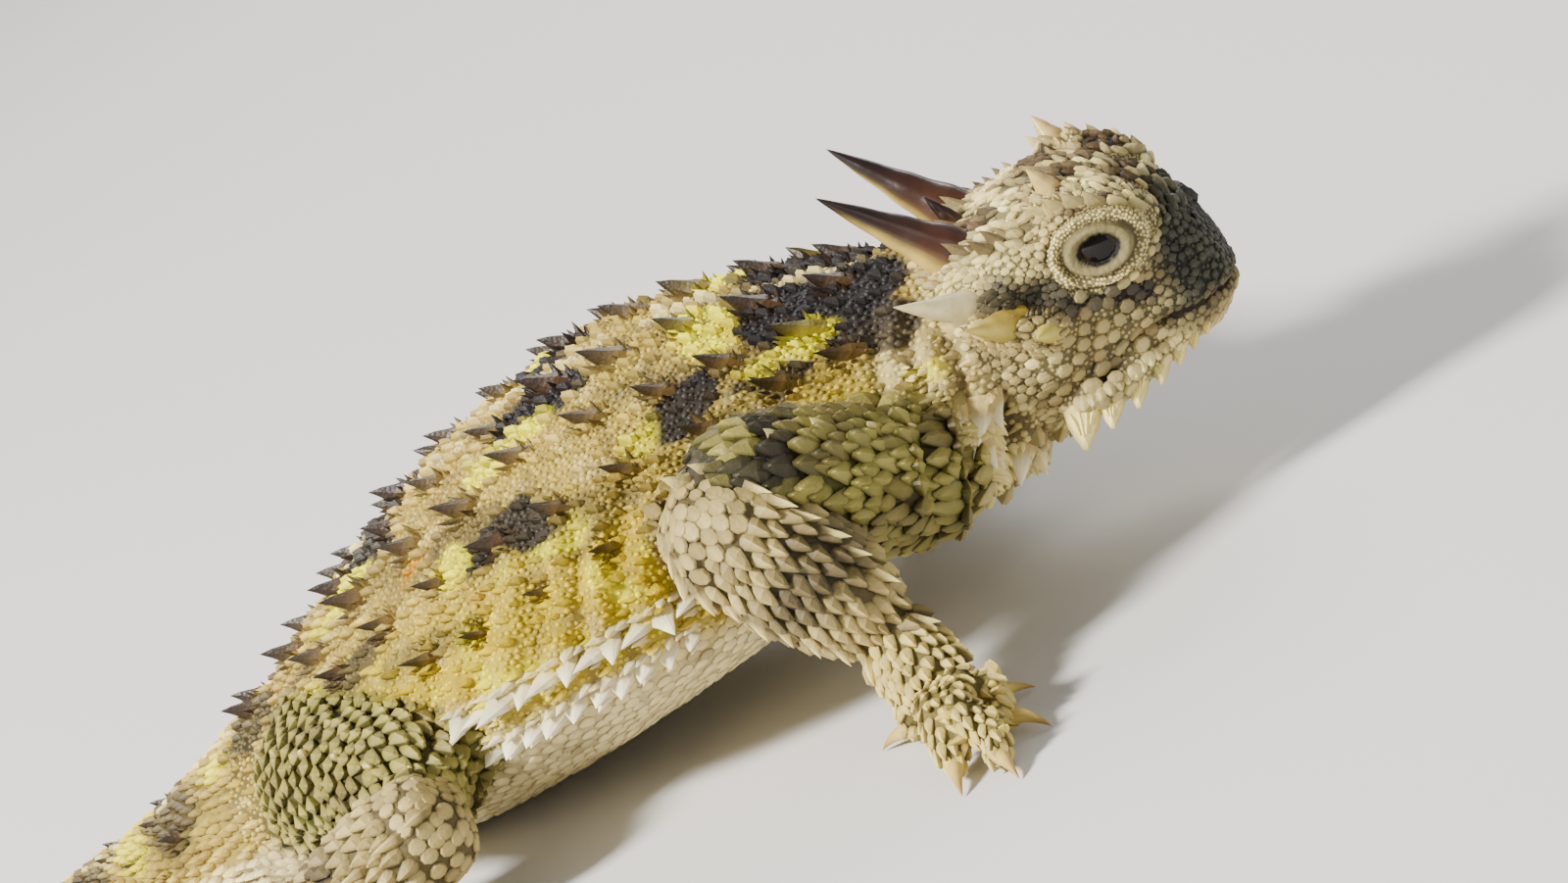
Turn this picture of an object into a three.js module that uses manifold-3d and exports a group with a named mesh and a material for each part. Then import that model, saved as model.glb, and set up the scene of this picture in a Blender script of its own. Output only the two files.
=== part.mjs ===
// A Texas horned lizard at life size, sitting up on its forelegs, in millimetres.
// +X points to the snout, +Y to its left side, +Z up, and the floor is z = 0.
// The origin is the middle of the flat under the pelvis.
import * as THREE from "three";
import { mergeVertices } from "three/addons/utils/BufferGeometryUtils.js";
import Module from "manifold-3d";

const wasm = await Module();
wasm.setup();

// Driving dimensions.
const GAP = 0.3;
const TRUNK_AROUND = 26;
const TRUNK_RINGS = 34;
const HEAD_AROUND = 24;
const HEAD_RINGS = 16;
const LIMB_AROUND = 13;
const LIMB_RINGS = 10;
const NECK_CUT_X = 43.2;
const TAIL_CUT_X = -14;
const EYE_CENTRE = [60.1, 5.6, 21.5];
const EYE_RADIUS = 3.1;
const LID_RADIUS = 3.95;
const LID_OPENING = [1.75, 1.25];
const EAR_CENTRE = [54.4, 10.9, 16.4];
const EAR_SIZE = [1.1, 1.2, 1.7];
const NOSTRIL_CENTRE = [65.9, 2.0, 19.4];
const NOSTRIL_RADIUS = 0.5;
const SPINE_SUNK = 0.9;
const SEED = 11;

// Rings of the trunk from the tail's tip to the nape: x, sideways drift y, height of the widest line mid,
// height of the back top, height of the belly low, and half the width.
const TRUNK = [
  { x: -53, y: -5.6, mid: 0.9, top: 1.3, low: 0.5, half: 0.5 },
  { x: -46, y: -3.9, mid: 1.1, top: 2.2, low: -0.4, half: 1.5 },
  { x: -38, y: -2.3, mid: 1.7, top: 3.5, low: -0.4, half: 2.6 },
  { x: -30, y: -1.1, mid: 2.4, top: 5.0, low: -0.4, half: 3.9 },
  { x: -22, y: -0.4, mid: 3.3, top: 7.0, low: -0.4, half: 5.4 },
  { x: -15, y: 0, mid: 4.7, top: 9.8, low: -0.5, half: 8.0 },
  { x: -9, y: 0, mid: 6.6, top: 12.9, low: -0.6, half: 11.4 },
  { x: -2, y: 0, mid: 8.9, top: 17.3, low: -0.7, half: 16.2 },
  { x: 6, y: 0, mid: 11.3, top: 21.8, low: -0.1, half: 20.8 },
  { x: 13.5, y: 0, mid: 12.8, top: 24.6, low: 1.5, half: 23.8 },
  { x: 21.7, y: 0, mid: 13.5, top: 26.6, low: 3.2, half: 23.6 },
  { x: 30, y: 0, mid: 13.8, top: 26.8, low: 4.8, half: 20.6 },
  { x: 37, y: 0, mid: 14.2, top: 25.9, low: 6.0, half: 16.2 },
  { x: 43.5, y: 0, mid: 15.0, top: 24.9, low: 6.6, half: 13.0 },
  { x: 48.5, y: 0, mid: 16.0, top: 24.2, low: 6.9, half: 11.4 },
  { x: 53, y: 0, mid: 16.6, top: 23.0, low: 8.7, half: 8.6 },
];

// Rings of the head from the nape to the snout, in the same terms.
const HEAD = [
  { x: 46.6, y: 0, mid: 18.6, top: 21.6, low: 15.0, half: 5.6 },
  { x: 48.2, y: 0, mid: 18.6, top: 23.6, low: 11.6, half: 9.0 },
  { x: 50.6, y: 0, mid: 18.6, top: 24.9, low: 10.2, half: 10.7 },
  { x: 53.5, y: 0, mid: 18.4, top: 25.5, low: 9.8, half: 10.9 },
  { x: 56.5, y: 0, mid: 18.0, top: 26.1, low: 9.9, half: 9.6 },
  { x: 59.5, y: 0, mid: 17.4, top: 25.6, low: 10.2, half: 8.0 },
  { x: 62.3, y: 0, mid: 16.8, top: 24.1, low: 10.7, half: 6.9 },
  { x: 64.6, y: 0, mid: 16.2, top: 22.2, low: 11.2, half: 5.7 },
  { x: 65.9, y: 0, mid: 15.6, top: 19.7, low: 12.1, half: 4.3 },
  { x: 66.8, y: 0, mid: 15.2, top: 17.4, low: 13.2, half: 2.4 },
];

// Materials, one for each finish.
const finish = (color, roughness, metalness = 0) =>
  new THREE.MeshStandardMaterial({ color, roughness, metalness });
const SKIN = finish(0x9c8a5c, 0.85);
const LIMB = finish(0xa89c72, 0.8);
const HORN = finish(0x5a3a28, 0.35);
const PALE_HORN = finish(0xc9b878, 0.4);
const EYE = finish(0x120c0a, 0.08);
const CLAW = finish(0xb8a468, 0.4);

// Value of a smooth curve through the stations' numbers at x.
function along(stations, key, x) {
  const last = stations.length - 1;
  const at = Math.min(Math.max(x, stations[0].x), stations[last].x);
  let i = 0;
  while (i < last - 1 && at > stations[i + 1].x) i += 1;
  const slope = (j) => {
    const a = stations[Math.max(j - 1, 0)];
    const b = stations[Math.min(j + 1, last)];
    return (b[key] - a[key]) / (b.x - a.x);
  };
  const [p, q] = [stations[i], stations[i + 1]];
  const h = q.x - p.x;
  const t = (at - p.x) / h;
  return (
    p[key] * (1 + 2 * t) * (1 - t) ** 2 +
    q[key] * t * t * (3 - 2 * t) +
    h * slope(i) * t * (1 - t) ** 2 -
    h * slope(i + 1) * t * t * (1 - t)
  );
}

// A closed solid whose rings are placed by point(t, angle): t runs 0 to 1, and both ends close on a pole.
function ringed(around, rings, point) {
  const g = new THREE.SphereGeometry(1, around, rings);
  const position = g.getAttribute("position");
  for (let r = 0; r <= rings; r += 1)
    for (let a = 0; a <= around; a += 1) {
      const p = point(r / rings, ((a % around) / around) * 2 * Math.PI);
      position.setXYZ(r * (around + 1) + a, p.x, p.y, p.z);
    }
  return solid(g);
}

// A manifold solid of a closed three.js geometry.
function solid(geometry) {
  const g = geometry.index ? geometry.toNonIndexed() : geometry.clone();
  g.deleteAttribute("normal");
  g.deleteAttribute("uv");
  const merged = mergeVertices(g, 1e-4);
  const tri = [];
  const index = merged.index.array;
  for (let i = 0; i < index.length; i += 3) {
    const [a, b, c] = [index[i], index[i + 1], index[i + 2]];
    if (a !== b && b !== c && c !== a) tri.push(a, b, c);
  }
  const vertProperties = merged.attributes.position.array;
  const make = (triVerts) => new wasm.Manifold(new wasm.Mesh({ numProp: 3, vertProperties, triVerts }));
  const made = make(new Uint32Array(tri));
  if (made.volume() > 0) return made;
  for (let i = 0; i < tri.length; i += 3) [tri[i + 1], tri[i + 2]] = [tri[i + 2], tri[i + 1]];
  return make(new Uint32Array(tri));
}

const placed = (geometry, x, y, z) => solid(geometry.translate(x, y, z));
const joined = (pieces) => wasm.Manifold.union(pieces);
const power = (v, e) => Math.sign(v) * Math.abs(v) ** e;

// A point of a body whose rings stand across x, with squareness up and down, grown outwards by grow.
function sectionPoint(stations, x, angle, up, down, grow = 0) {
  const mid = along(stations, "mid", x);
  const [c, s] = [Math.cos(angle), Math.sin(angle)];
  const square = s > 0 ? up : down;
  const height = s > 0 ? along(stations, "top", x) - mid : mid - along(stations, "low", x);
  return new THREE.Vector3(
    x,
    along(stations, "y", x) + (along(stations, "half", x) + grow) * power(c, 2 / square),
    mid + (height + grow) * power(s, 2 / square),
  );
}

// A body with rings across x: each end closes on a pole a little past its last ring.
function lengthwise(stations, around, rings, up, down, grow = 0, ease = (t) => t) {
  const [first, last] = [stations[0].x, stations[stations.length - 1].x];
  const mid = (x) => along(stations, "mid", x);
  return ringed(around, rings, (t, angle) => {
    if (t === 0) return new THREE.Vector3(first - 0.6 - grow, along(stations, "y", first), mid(first));
    if (t === 1) return new THREE.Vector3(last + 0.4 + grow, 0, mid(last));
    const u = (t * rings - 1) / (rings - 2);
    return sectionPoint(stations, first + (last - first) * ease(u), angle, up, down, grow);
  });
}

const trunk = (grow) => lengthwise(TRUNK, TRUNK_AROUND, TRUNK_RINGS, 2, 2.3, grow);
const skull = (grow) => lengthwise(HEAD, HEAD_AROUND, HEAD_RINGS, 2.7, 2.2, grow, (t) => 1 - (1 - t) ** 1.35);

// A smooth curve through the points p of stations.
const through = (stations) =>
  new THREE.CatmullRomCurve3(stations.map((s) => new THREE.Vector3(...s.p)), false, "centripetal");

// A limb or digit: stations hold a point p and a radius r, and the tube's ends are rounded.
function tube(stations, around, rings, { grow = 0, flat = 1, side = [0, 0, 1], round = 0.12 } = {}) {
  const curve = through(stations);
  const radii = stations.map((s, i) => ({ x: i / (stations.length - 1), r: s.r }));
  const hint = new THREE.Vector3(...side);
  return ringed(around, rings, (t, angle) => {
    const end = Math.min(t, 1 - t) / round;
    const swell = end < 1 ? Math.sqrt(1 - (1 - end) ** 2) : 1;
    const centre = curve.getPoint(t);
    const tangent = curve.getTangent(t);
    if (t === 0 || t === 1) return centre.addScaledVector(tangent, t === 0 ? -grow : grow);
    const across = new THREE.Vector3().crossVectors(tangent, hint).normalize();
    const up = new THREE.Vector3().crossVectors(across, tangent);
    const r = along(radii, "r", t) * swell + grow;
    centre.addScaledVector(across, r * Math.cos(angle));
    return centre.addScaledVector(up, r * flat * Math.sin(angle));
  });
}

// A horn, spine or claw from its root to its tip, swept along a bend.
function horn(root, tip, radius, bend, around = 8, rings = 7, flat = 1) {
  const [a, b] = [new THREE.Vector3(...root), new THREE.Vector3(...tip)];
  const middle = a.clone().lerp(b, 0.5).add(new THREE.Vector3(...bend));
  const curve = new THREE.QuadraticBezierCurve3(a, middle, b);
  return ringed(around, rings, (t, angle) => {
    const u = Math.max(0, (t * rings - 1) / (rings - 1));
    const centre = curve.getPoint(u);
    if (t === 0 || t === 1) return centre;
    const tangent = curve.getTangent(u);
    const hint = Math.abs(tangent.z) > 0.9 ? new THREE.Vector3(1, 0, 0) : new THREE.Vector3(0, 0, 1);
    const across = new THREE.Vector3().crossVectors(tangent, hint).normalize();
    const up = new THREE.Vector3().crossVectors(across, tangent);
    const r = radius * (1 - u) ** 0.85;
    centre.addScaledVector(across, r * Math.cos(angle));
    return centre.addScaledVector(up, r * flat * Math.sin(angle));
  });
}

const mirrored = ([x, y, z], side) => [x, side * y, z];
const onSide = (stations, side) => stations.map((s) => ({ ...s, p: mirrored(s.p, side) }));
const SIDES = [["right", -1], ["left", 1]];

// Head: the skull, the ridges over the eyes, the lids, the temples and the jaw's edge.
const HEAD_RIDGES = [
  [
    { p: [56.2, 5.9, 24.6], r: 1.5 },
    { p: [59.2, 6.1, 24.4], r: 1.7 },
    { p: [62.0, 5.2, 22.8], r: 1.4 },
    { p: [64.4, 3.6, 20.6], r: 1.0 },
  ],
  [
    { p: [57.4, 8.2, 17.2], r: 1.7 },
    { p: [53.4, 9.6, 18.8], r: 2.0 },
    { p: [50.2, 8.6, 20.8], r: 1.9 },
    { p: [48.8, 5.6, 22.6], r: 1.6 },
  ],
  [
    { p: [64.2, 3.4, 12.9], r: 0.9 },
    { p: [60.5, 5.6, 12.4], r: 1.3 },
    { p: [56.5, 7.6, 12.0], r: 1.5 },
    { p: [52.8, 8.4, 12.2], r: 1.4 },
  ],
];

function headBody(grow) {
  const parts = [skull(grow)];
  for (const [, side] of SIDES) {
    parts.push(placed(new THREE.SphereGeometry(LID_RADIUS + grow, 16, 10), ...mirrored(EYE_CENTRE, side)));
    for (const ridge of HEAD_RIDGES) parts.push(tube(onSide(ridge, side), 8, 7, { grow, round: 0.3 }));
  }
  return joined(parts);
}

const MOUTH_LINE = [
  [55.2, 9.7, 13.6],
  [58.0, 8.1, 13.7],
  [62.0, 6.3, 14.0],
  [65.6, 3.9, 14.1],
  [67.2, 0, 14.1],
];
const MOUTH_CUT = { r: 1.3, flat: 0.24 };

function headDetail() {
  const cuts = [];
  for (const [, side] of SIDES) {
    cuts.push(placed(new THREE.SphereGeometry(EYE_RADIUS + GAP, 14, 8), ...mirrored(EYE_CENTRE, side)));
    const opening = new THREE.CylinderGeometry(1, 1, 5, 12).scale(LID_OPENING[0], 1, LID_OPENING[1]);
    cuts.push(placed(opening, EYE_CENTRE[0], side * (EYE_CENTRE[1] + 4), EYE_CENTRE[2]));
    cuts.push(placed(new THREE.SphereGeometry(NOSTRIL_RADIUS, 7, 5), ...mirrored(NOSTRIL_CENTRE, side)));
    cuts.push(placed(new THREE.SphereGeometry(1, 9, 6).scale(...EAR_SIZE), ...mirrored(EAR_CENTRE, side)));
  }
  const line = [...MOUTH_LINE.slice(0, -1).map((p) => mirrored(p, -1)), ...MOUTH_LINE.slice().reverse()];
  cuts.push(tube(line.map((p) => ({ p, r: MOUTH_CUT.r })), 4, 16, { flat: MOUTH_CUT.flat, round: 0.05 }));
  return joined(cuts);
}

// The small horn in the middle of the crown.
const MIDDLE_HORN = { root: [51.2, 0, 23.6], tip: [49.4, 0, 27.4], radius: 1.1, bend: [0, 0, 0] };

// Horns: name, root, tip, radius at the root and bend of the middle, for the left side.
const HORNS = [
  {
    name: "horn_occipital",
    root: [51.6, 4.3, 22.6],
    tip: [43.6, 6.0, 31.8],
    radius: 2.3,
    bend: [0.6, 0, -0.7],
  },
  {
    name: "horn_superciliary",
    root: [58.8, 5.9, 24.2],
    tip: [57.6, 6.6, 28.1],
    radius: 1.6,
    bend: [0.3, 0, 0],
  },
  {
    name: "horn_temporal_rear",
    root: [51.8, 8.0, 20.6],
    tip: [46.4, 12.6, 24.4],
    radius: 1.7,
    bend: [0.2, 0.4, -0.4],
  },
  {
    name: "horn_temporal_middle",
    root: [53.0, 9.6, 19.2],
    tip: [50.4, 14.2, 21.4],
    radius: 1.5,
    bend: [0, 0, -0.2],
  },
  {
    name: "horn_temporal_front",
    root: [55.2, 9.2, 17.8],
    tip: [54.4, 13.0, 18.6],
    radius: 1.25,
    bend: [0, 0, 0],
  },
];

// Legs, given for the left side: shoulder to elbow, elbow to wrist, hip to knee, knee to ankle.
// The left arm is held lower than the right one.
const LEGS = {
  upper_arm_right: [
    { p: [46.5, 8.5, 10.8], r: 4.6 },
    { p: [41.2, 14.2, 14.0], r: 4.8 },
    { p: [35.4, 19.6, 18.2], r: 4.6 },
    { p: [30.6, 22.4, 20.8], r: 3.9 },
  ],
  forearm_right: [
    { p: [29.8, 22.6, 22.0], r: 3.7 },
    { p: [31.8, 22.7, 17.6], r: 4.7 },
    { p: [35.6, 23.0, 12.2], r: 4.2 },
    { p: [39.2, 23.8, 6.4], r: 3.0 },
  ],
  upper_arm_left: [
    { p: [46.5, 8.5, 10.8], r: 4.6 },
    { p: [43.0, 14.0, 12.0], r: 4.8 },
    { p: [38.8, 19.4, 13.6], r: 4.5 },
    { p: [35.2, 22.6, 14.6], r: 3.8 },
  ],
  forearm_left: [
    { p: [34.4, 22.8, 16.0], r: 3.5 },
    { p: [35.8, 23.0, 13.4], r: 4.3 },
    { p: [38.0, 23.4, 9.8], r: 3.8 },
    { p: [39.8, 23.8, 6.2], r: 3.0 },
  ],
  thigh: [
    { p: [-8, 5, 7.2], r: 5.0 },
    { p: [-3, 12.5, 8.6], r: 5.2 },
    { p: [3.2, 20, 9.4], r: 4.6 },
    { p: [8, 25.6, 8.6], r: 3.5 },
  ],
  shin: [
    { p: [8.6, 26.6, 9.0], r: 3.3 },
    { p: [4.4, 28, 7.6], r: 4.0 },
    { p: [-2.6, 28.4, 5.2], r: 3.0 },
    { p: [-8.6, 28, 2.8], r: 2.2 },
  ],
};

// Hands and feet: the palm from wrist or heel to knuckles, then each digit's tip on the floor and its arch.
const HAND = {
  palm: [
    { p: [38.2, 23.5, 8.2], r: 2.7 },
    { p: [39.8, 25.2, 4.8], r: 2.9 },
    { p: [41.2, 28.6, 2.6], r: 2.6 },
  ],
  knuckle: [40.9, 27.8, 2.9],
  digits: [
    { tip: [44.0, 26.2], r: 1.15 },
    { tip: [45.6, 31.4], r: 1.25 },
    { tip: [44.6, 37.2], r: 1.3 },
    { tip: [41.4, 36.2], r: 1.3 },
    { tip: [37.6, 26.4], r: 1.15 },
  ],
};
const FOOT = {
  palm: [
    { p: [-9.2, 27.8, 2.7], r: 2.1 },
    { p: [-6.4, 29.2, 1.9], r: 2.6 },
    { p: [-2.8, 30.6, 1.4], r: 2.4 },
  ],
  knuckle: [-3.4, 30.4, 1.7],
  digits: [
    { tip: [1.6, 28.4], r: 1.0 },
    { tip: [5.0, 30.4], r: 1.15 },
    { tip: [7.2, 33.8], r: 1.25 },
    { tip: [5.8, 38.8], r: 1.3 },
    { tip: [-1.4, 38.4], r: 1.05 },
  ],
};
const TIP_HEIGHT = 0.8;
const CLAW_LENGTH = 2.6;

function digit(plan, index, side, grow) {
  const { tip, r } = plan.digits[index];
  const [kx, ky, kz] = plan.knuckle;
  const arch = [kx + (tip[0] - kx) * 0.55, ky + (tip[1] - ky) * 0.55, kz + 0.5];
  const stations = [
    { p: plan.knuckle, r: r * 1.15 },
    { p: arch, r },
    { p: [tip[0], tip[1], TIP_HEIGHT], r: r * 0.72 },
  ];
  return tube(onSide(stations, side), 6, 6, { grow, round: 0.2 });
}

function paw(plan, side, grow) {
  const palm = tube(onSide(plan.palm, side), 9, 6, { grow, flat: 0.8, side: [0, side, 0.2], round: 0.25 });
  return joined([palm, ...plan.digits.map((_, i) => digit(plan, i, side, grow))]);
}

function claw(plan, index, side) {
  const { tip } = plan.digits[index];
  const [kx, ky] = plan.knuckle;
  const reach = Math.hypot(tip[0] - kx, tip[1] - ky);
  const ahead = [(tip[0] - kx) / reach, (tip[1] - ky) / reach];
  const root = [tip[0] - ahead[0] * 0.6, tip[1] - ahead[1] * 0.6, TIP_HEIGHT + 0.25];
  const end = [tip[0] + ahead[0] * CLAW_LENGTH, tip[1] + ahead[1] * CLAW_LENGTH, 0.12];
  return horn(mirrored(root, side), mirrored(end, side), 0.72, [0, 0, 0.75], 6, 4);
}

// Seeded draws in the range -1 to 1.
let state = SEED;
function draw() {
  state = (Math.imul(state, 1664525) + 1013904223) >>> 0;
  return state / 2 ** 31 - 1;
}

// A spine: a cone of a few sides, its root sunk under the surface.
// A flat one is a keeled scale, wide along broad.
function spine(root, direction, length, radius, { sides = 5, flat = 1, broad = [1, 0, 0] } = {}) {
  const up = direction.clone().normalize();
  const wide = new THREE.Vector3(...broad);
  const across = wide.addScaledVector(up, -up.dot(wide)).normalize();
  const third = new THREE.Vector3().crossVectors(across, up);
  const cone = new THREE.ConeGeometry(radius, length + SPINE_SUNK, sides, 1).scale(1, 1, flat);
  cone.translate(0, (length + SPINE_SUNK) / 2 - SPINE_SUNK, 0);
  cone.applyMatrix4(new THREE.Matrix4().makeBasis(across, up, third));
  return solid(cone.translate(root.x, root.y, root.z));
}

// The trunk's surface point at x and angle (90 degrees is the middle of the back), with its normal.
function trunkSpot(x, degrees) {
  const at = (px, deg) => sectionPoint(TRUNK, px, THREE.MathUtils.degToRad(deg), 2, 2.3);
  const point = at(x, degrees);
  const fore = at(x + 0.5, degrees).sub(at(x - 0.5, degrees));
  const round = at(x, degrees + 1).sub(at(x, degrees - 1));
  const normal = fore.cross(round).normalize();
  return { point, normal: normal.multiplyScalar(-1) };
}

// Rows of spines down the back, each row given by its angle from the middle and the size of its spines.
const BACK_ROWS = [
  { degrees: 11, size: 1 },
  { degrees: 30, size: 1 },
  { degrees: 48, size: 0.85 },
  { degrees: 65, size: 0.7 },
];
const BACK_SPINE = { length: 2.3, radius: 1.0, lean: 0.7, step: 5.2, from: -10.2, to: 42 };
const TAIL_ROWS = [
  { degrees: 16, size: 0.75 },
  { degrees: 50, size: 0.7 },
  { degrees: 84, size: 0.8 },
];
const TAIL_SPINE = { length: 2.3, radius: 0.9, lean: 1.0, step: 4.6, from: -44, to: -17 };

function spineRows(rows, form, side) {
  const made = [];
  rows.forEach(({ degrees, size }, row) => {
    const shift = row % 2 ? form.step / 2 : 0;
    for (let x = form.from + shift; x <= form.to; x += form.step) {
      const thin = THREE.MathUtils.clamp((along(TRUNK, "half", x) - 1) / 6, 0.5, 1);
      const { point, normal } = trunkSpot(x + draw() * 0.5, 90 - side * (degrees + draw() * 2));
      const direction = normal.add(new THREE.Vector3(-form.lean - draw() * 0.15, 0, 0));
      const scale = size * thin * (1 + draw() * 0.15);
      made.push(spine(point, direction, form.length * scale, form.radius * scale));
    }
  });
  return made;
}

// The fringe down each flank: an upper row of long flat scales and a lower row of short ones.
const FRINGE_ROWS = [
  { degrees: 0, length: 2.4, shift: 0 },
  { degrees: -13, length: 1.5, shift: 0.5 },
];
const FRINGE = { radius: 0.95, flat: 0.6, step: 2.5, from: -6.5, to: { right: 27, left: 33 }, lean: 0.45 };

function fringe(side, word) {
  const made = [];
  for (const row of FRINGE_ROWS)
    for (let x = FRINGE.from + row.shift * FRINGE.step; x <= FRINGE.to[word]; x += FRINGE.step) {
      const { point, normal } = trunkSpot(x, side > 0 ? row.degrees : 180 - row.degrees);
      const direction = normal.add(new THREE.Vector3(-FRINGE.lean - draw() * 0.1, 0, 0.15));
      const scale = 1 + draw() * 0.12;
      const [length, radius] = [row.length * scale, FRINGE.radius * scale];
      made.push(spine(point, direction, length, radius, { sides: 4, flat: FRINGE.flat }));
    }
  return made;
}

// Clusters of short spines on the folds of the neck: x, degrees under the widest line, and spine length.
const NECK_SPINES = [
  [45.6, -4, 1.5],
  [45.0, -12, 1.3],
  [45.4, -20, 1.5],
  [48.2, -24, 1.3],
  [45.0, -38, 1.2],
  [48.0, -40, 1.3],
  [45.8, 12, 1.2],
  [45.4, 24, 1.1],
];

function neckSpines(side) {
  return NECK_SPINES.map(([x, degrees, length]) => {
    const { point, normal } = trunkSpot(x, side > 0 ? degrees : 180 - degrees);
    return spine(point, normal.add(new THREE.Vector3(-0.35, 0, 0)), length, 0.75);
  });
}

// The chin fringe: flat scales along the jaw's edge, growing to the largest at its rear.
const CHIN_LINE = [[64.2, 3.9, 12.3], [61.2, 6.1, 11.8], [57.8, 8.0, 11.4], [54.2, 9.4, 11.2]];
const CHIN = { count: 7, least: 0.9, most: 2.8, root: [0.7, 1.3], flat: 0.6 };

function chinScales(side) {
  const line = new THREE.CatmullRomCurve3(CHIN_LINE.map((p) => new THREE.Vector3(...mirrored(p, side))));
  const made = [];
  for (let i = 0; i < CHIN.count; i += 1) {
    const t = i / (CHIN.count - 1);
    const length = CHIN.least + (CHIN.most - CHIN.least) * t ** 1.3;
    const direction = new THREE.Vector3(-0.25, side * 0.75, -0.75);
    const broad = line.getTangent(t).toArray();
    const radius = THREE.MathUtils.lerp(...CHIN.root, t);
    const root = line.getPoint(t).addScaledVector(direction, -0.5);
    made.push(spine(root, direction, length, radius, { flat: CHIN.flat, broad, sides: 4 }));
  }
  return made;
}

// Pointed scales along a limb's free edges, leaning down the limb. Facing is given for the left side.
const LIMB_SPINE = { length: 1.25, radius: 0.7, lean: 0.9, from: 0.28, to: 0.82 };
const LIMB_EDGES = {
  upper_arm: [{ facing: [-0.1, 0.6, 0.8], count: 5 }],
  forearm: [{ facing: [1, 0.5, 0.2], count: 4 }, { facing: [-0.7, 0.7, -0.3], count: 4 }],
  thigh: [{ facing: [-0.6, 0.3, 0.7], count: 4 }],
  shin: [{ facing: [0, 1, 0.5], count: 4 }],
};

function limbSpines(stations, edges, side) {
  const curve = through(stations);
  const radii = stations.map((s, i) => ({ x: i / (stations.length - 1), r: s.r }));
  return edges.flatMap(({ facing, count }) =>
    Array.from({ length: count }, (_, i) => {
      const t = THREE.MathUtils.lerp(LIMB_SPINE.from, LIMB_SPINE.to, i / (count - 1));
      const tangent = curve.getTangent(t);
      const out = new THREE.Vector3(...mirrored(facing, side));
      out.addScaledVector(tangent, -tangent.dot(out)).normalize();
      const root = curve.getPoint(t).addScaledVector(out, along(radii, "r", t) * 0.96);
      const direction = out.addScaledVector(tangent, LIMB_SPINE.lean);
      return spine(root, direction, LIMB_SPINE.length * (1 + draw() * 0.12), LIMB_SPINE.radius, { sides: 4 });
    }),
  );
}

const group = new THREE.Group();
const above = (s) => s.trimByPlane([0, 0, 1], 0);
const largest = (s) => s.decompose().sort((a, b) => b.volume() - a.volume())[0];

function add(name, made, material) {
  const { vertProperties, triVerts, numProp, numVert } = largest(made).getMesh();
  const position = new Float32Array(numVert * 3);
  for (let i = 0; i < numVert; i += 1) {
    position.set(vertProperties.subarray(i * numProp, i * numProp + 3), i * 3);
  }
  const g = new THREE.BufferGeometry();
  g.setAttribute("position", new THREE.BufferAttribute(position, 3));
  g.setIndex(new THREE.BufferAttribute(new Uint32Array(triVerts), 1));
  const mesh = new THREE.Mesh(g, material);
  mesh.name = name;
  group.add(mesh);
}

// Limb tubes of one side, as solids grown by grow.
const limbStations = (name, word, side) => onSide(LEGS[`${name}_${word}`] ?? LEGS[name], side);
const limbTube = (name, word, side, grow) =>
  tube(limbStations(name, word, side), LIMB_AROUND, LIMB_RINGS, { grow, round: 0.25 });
const LIMB_NAMES = ["upper_arm", "forearm", "thigh", "shin"];

// Trunk: neck, torso and tail are one form, parted by thin cuts.
// Its spines stay clear of the limbs and the head.
const headClear = headBody(GAP);
const trunkSpines = SIDES.flatMap(([word, side]) => [
  ...spineRows(BACK_ROWS, BACK_SPINE, side),
  ...spineRows(TAIL_ROWS, TAIL_SPINE, side),
  ...fringe(side, word),
  ...neckSpines(side),
]);
const limbsClear = joined(
  SIDES.flatMap(([word, side]) => LIMB_NAMES.map((name) => limbTube(name, word, side, 2 * GAP))),
);
const bodyClear = trunk(GAP);
const spined = joined([trunk(0), joined(trunkSpines).subtract(limbsClear)]);
const body = above(spined);
const chin = SIDES.flatMap(([, side]) => chinScales(side));
add("head", joined([headBody(0), ...chin]).subtract(headDetail()), SKIN);
add("neck", body.trimByPlane([1, 0, 0], NECK_CUT_X + GAP).subtract(joined([headClear, ...chin])), SKIN);
add("torso", body.trimByPlane([1, 0, 0], TAIL_CUT_X + GAP).trimByPlane([-1, 0, 0], -NECK_CUT_X), SKIN);
add("tail", body.trimByPlane([-1, 0, 0], -TAIL_CUT_X), SKIN);

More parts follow.
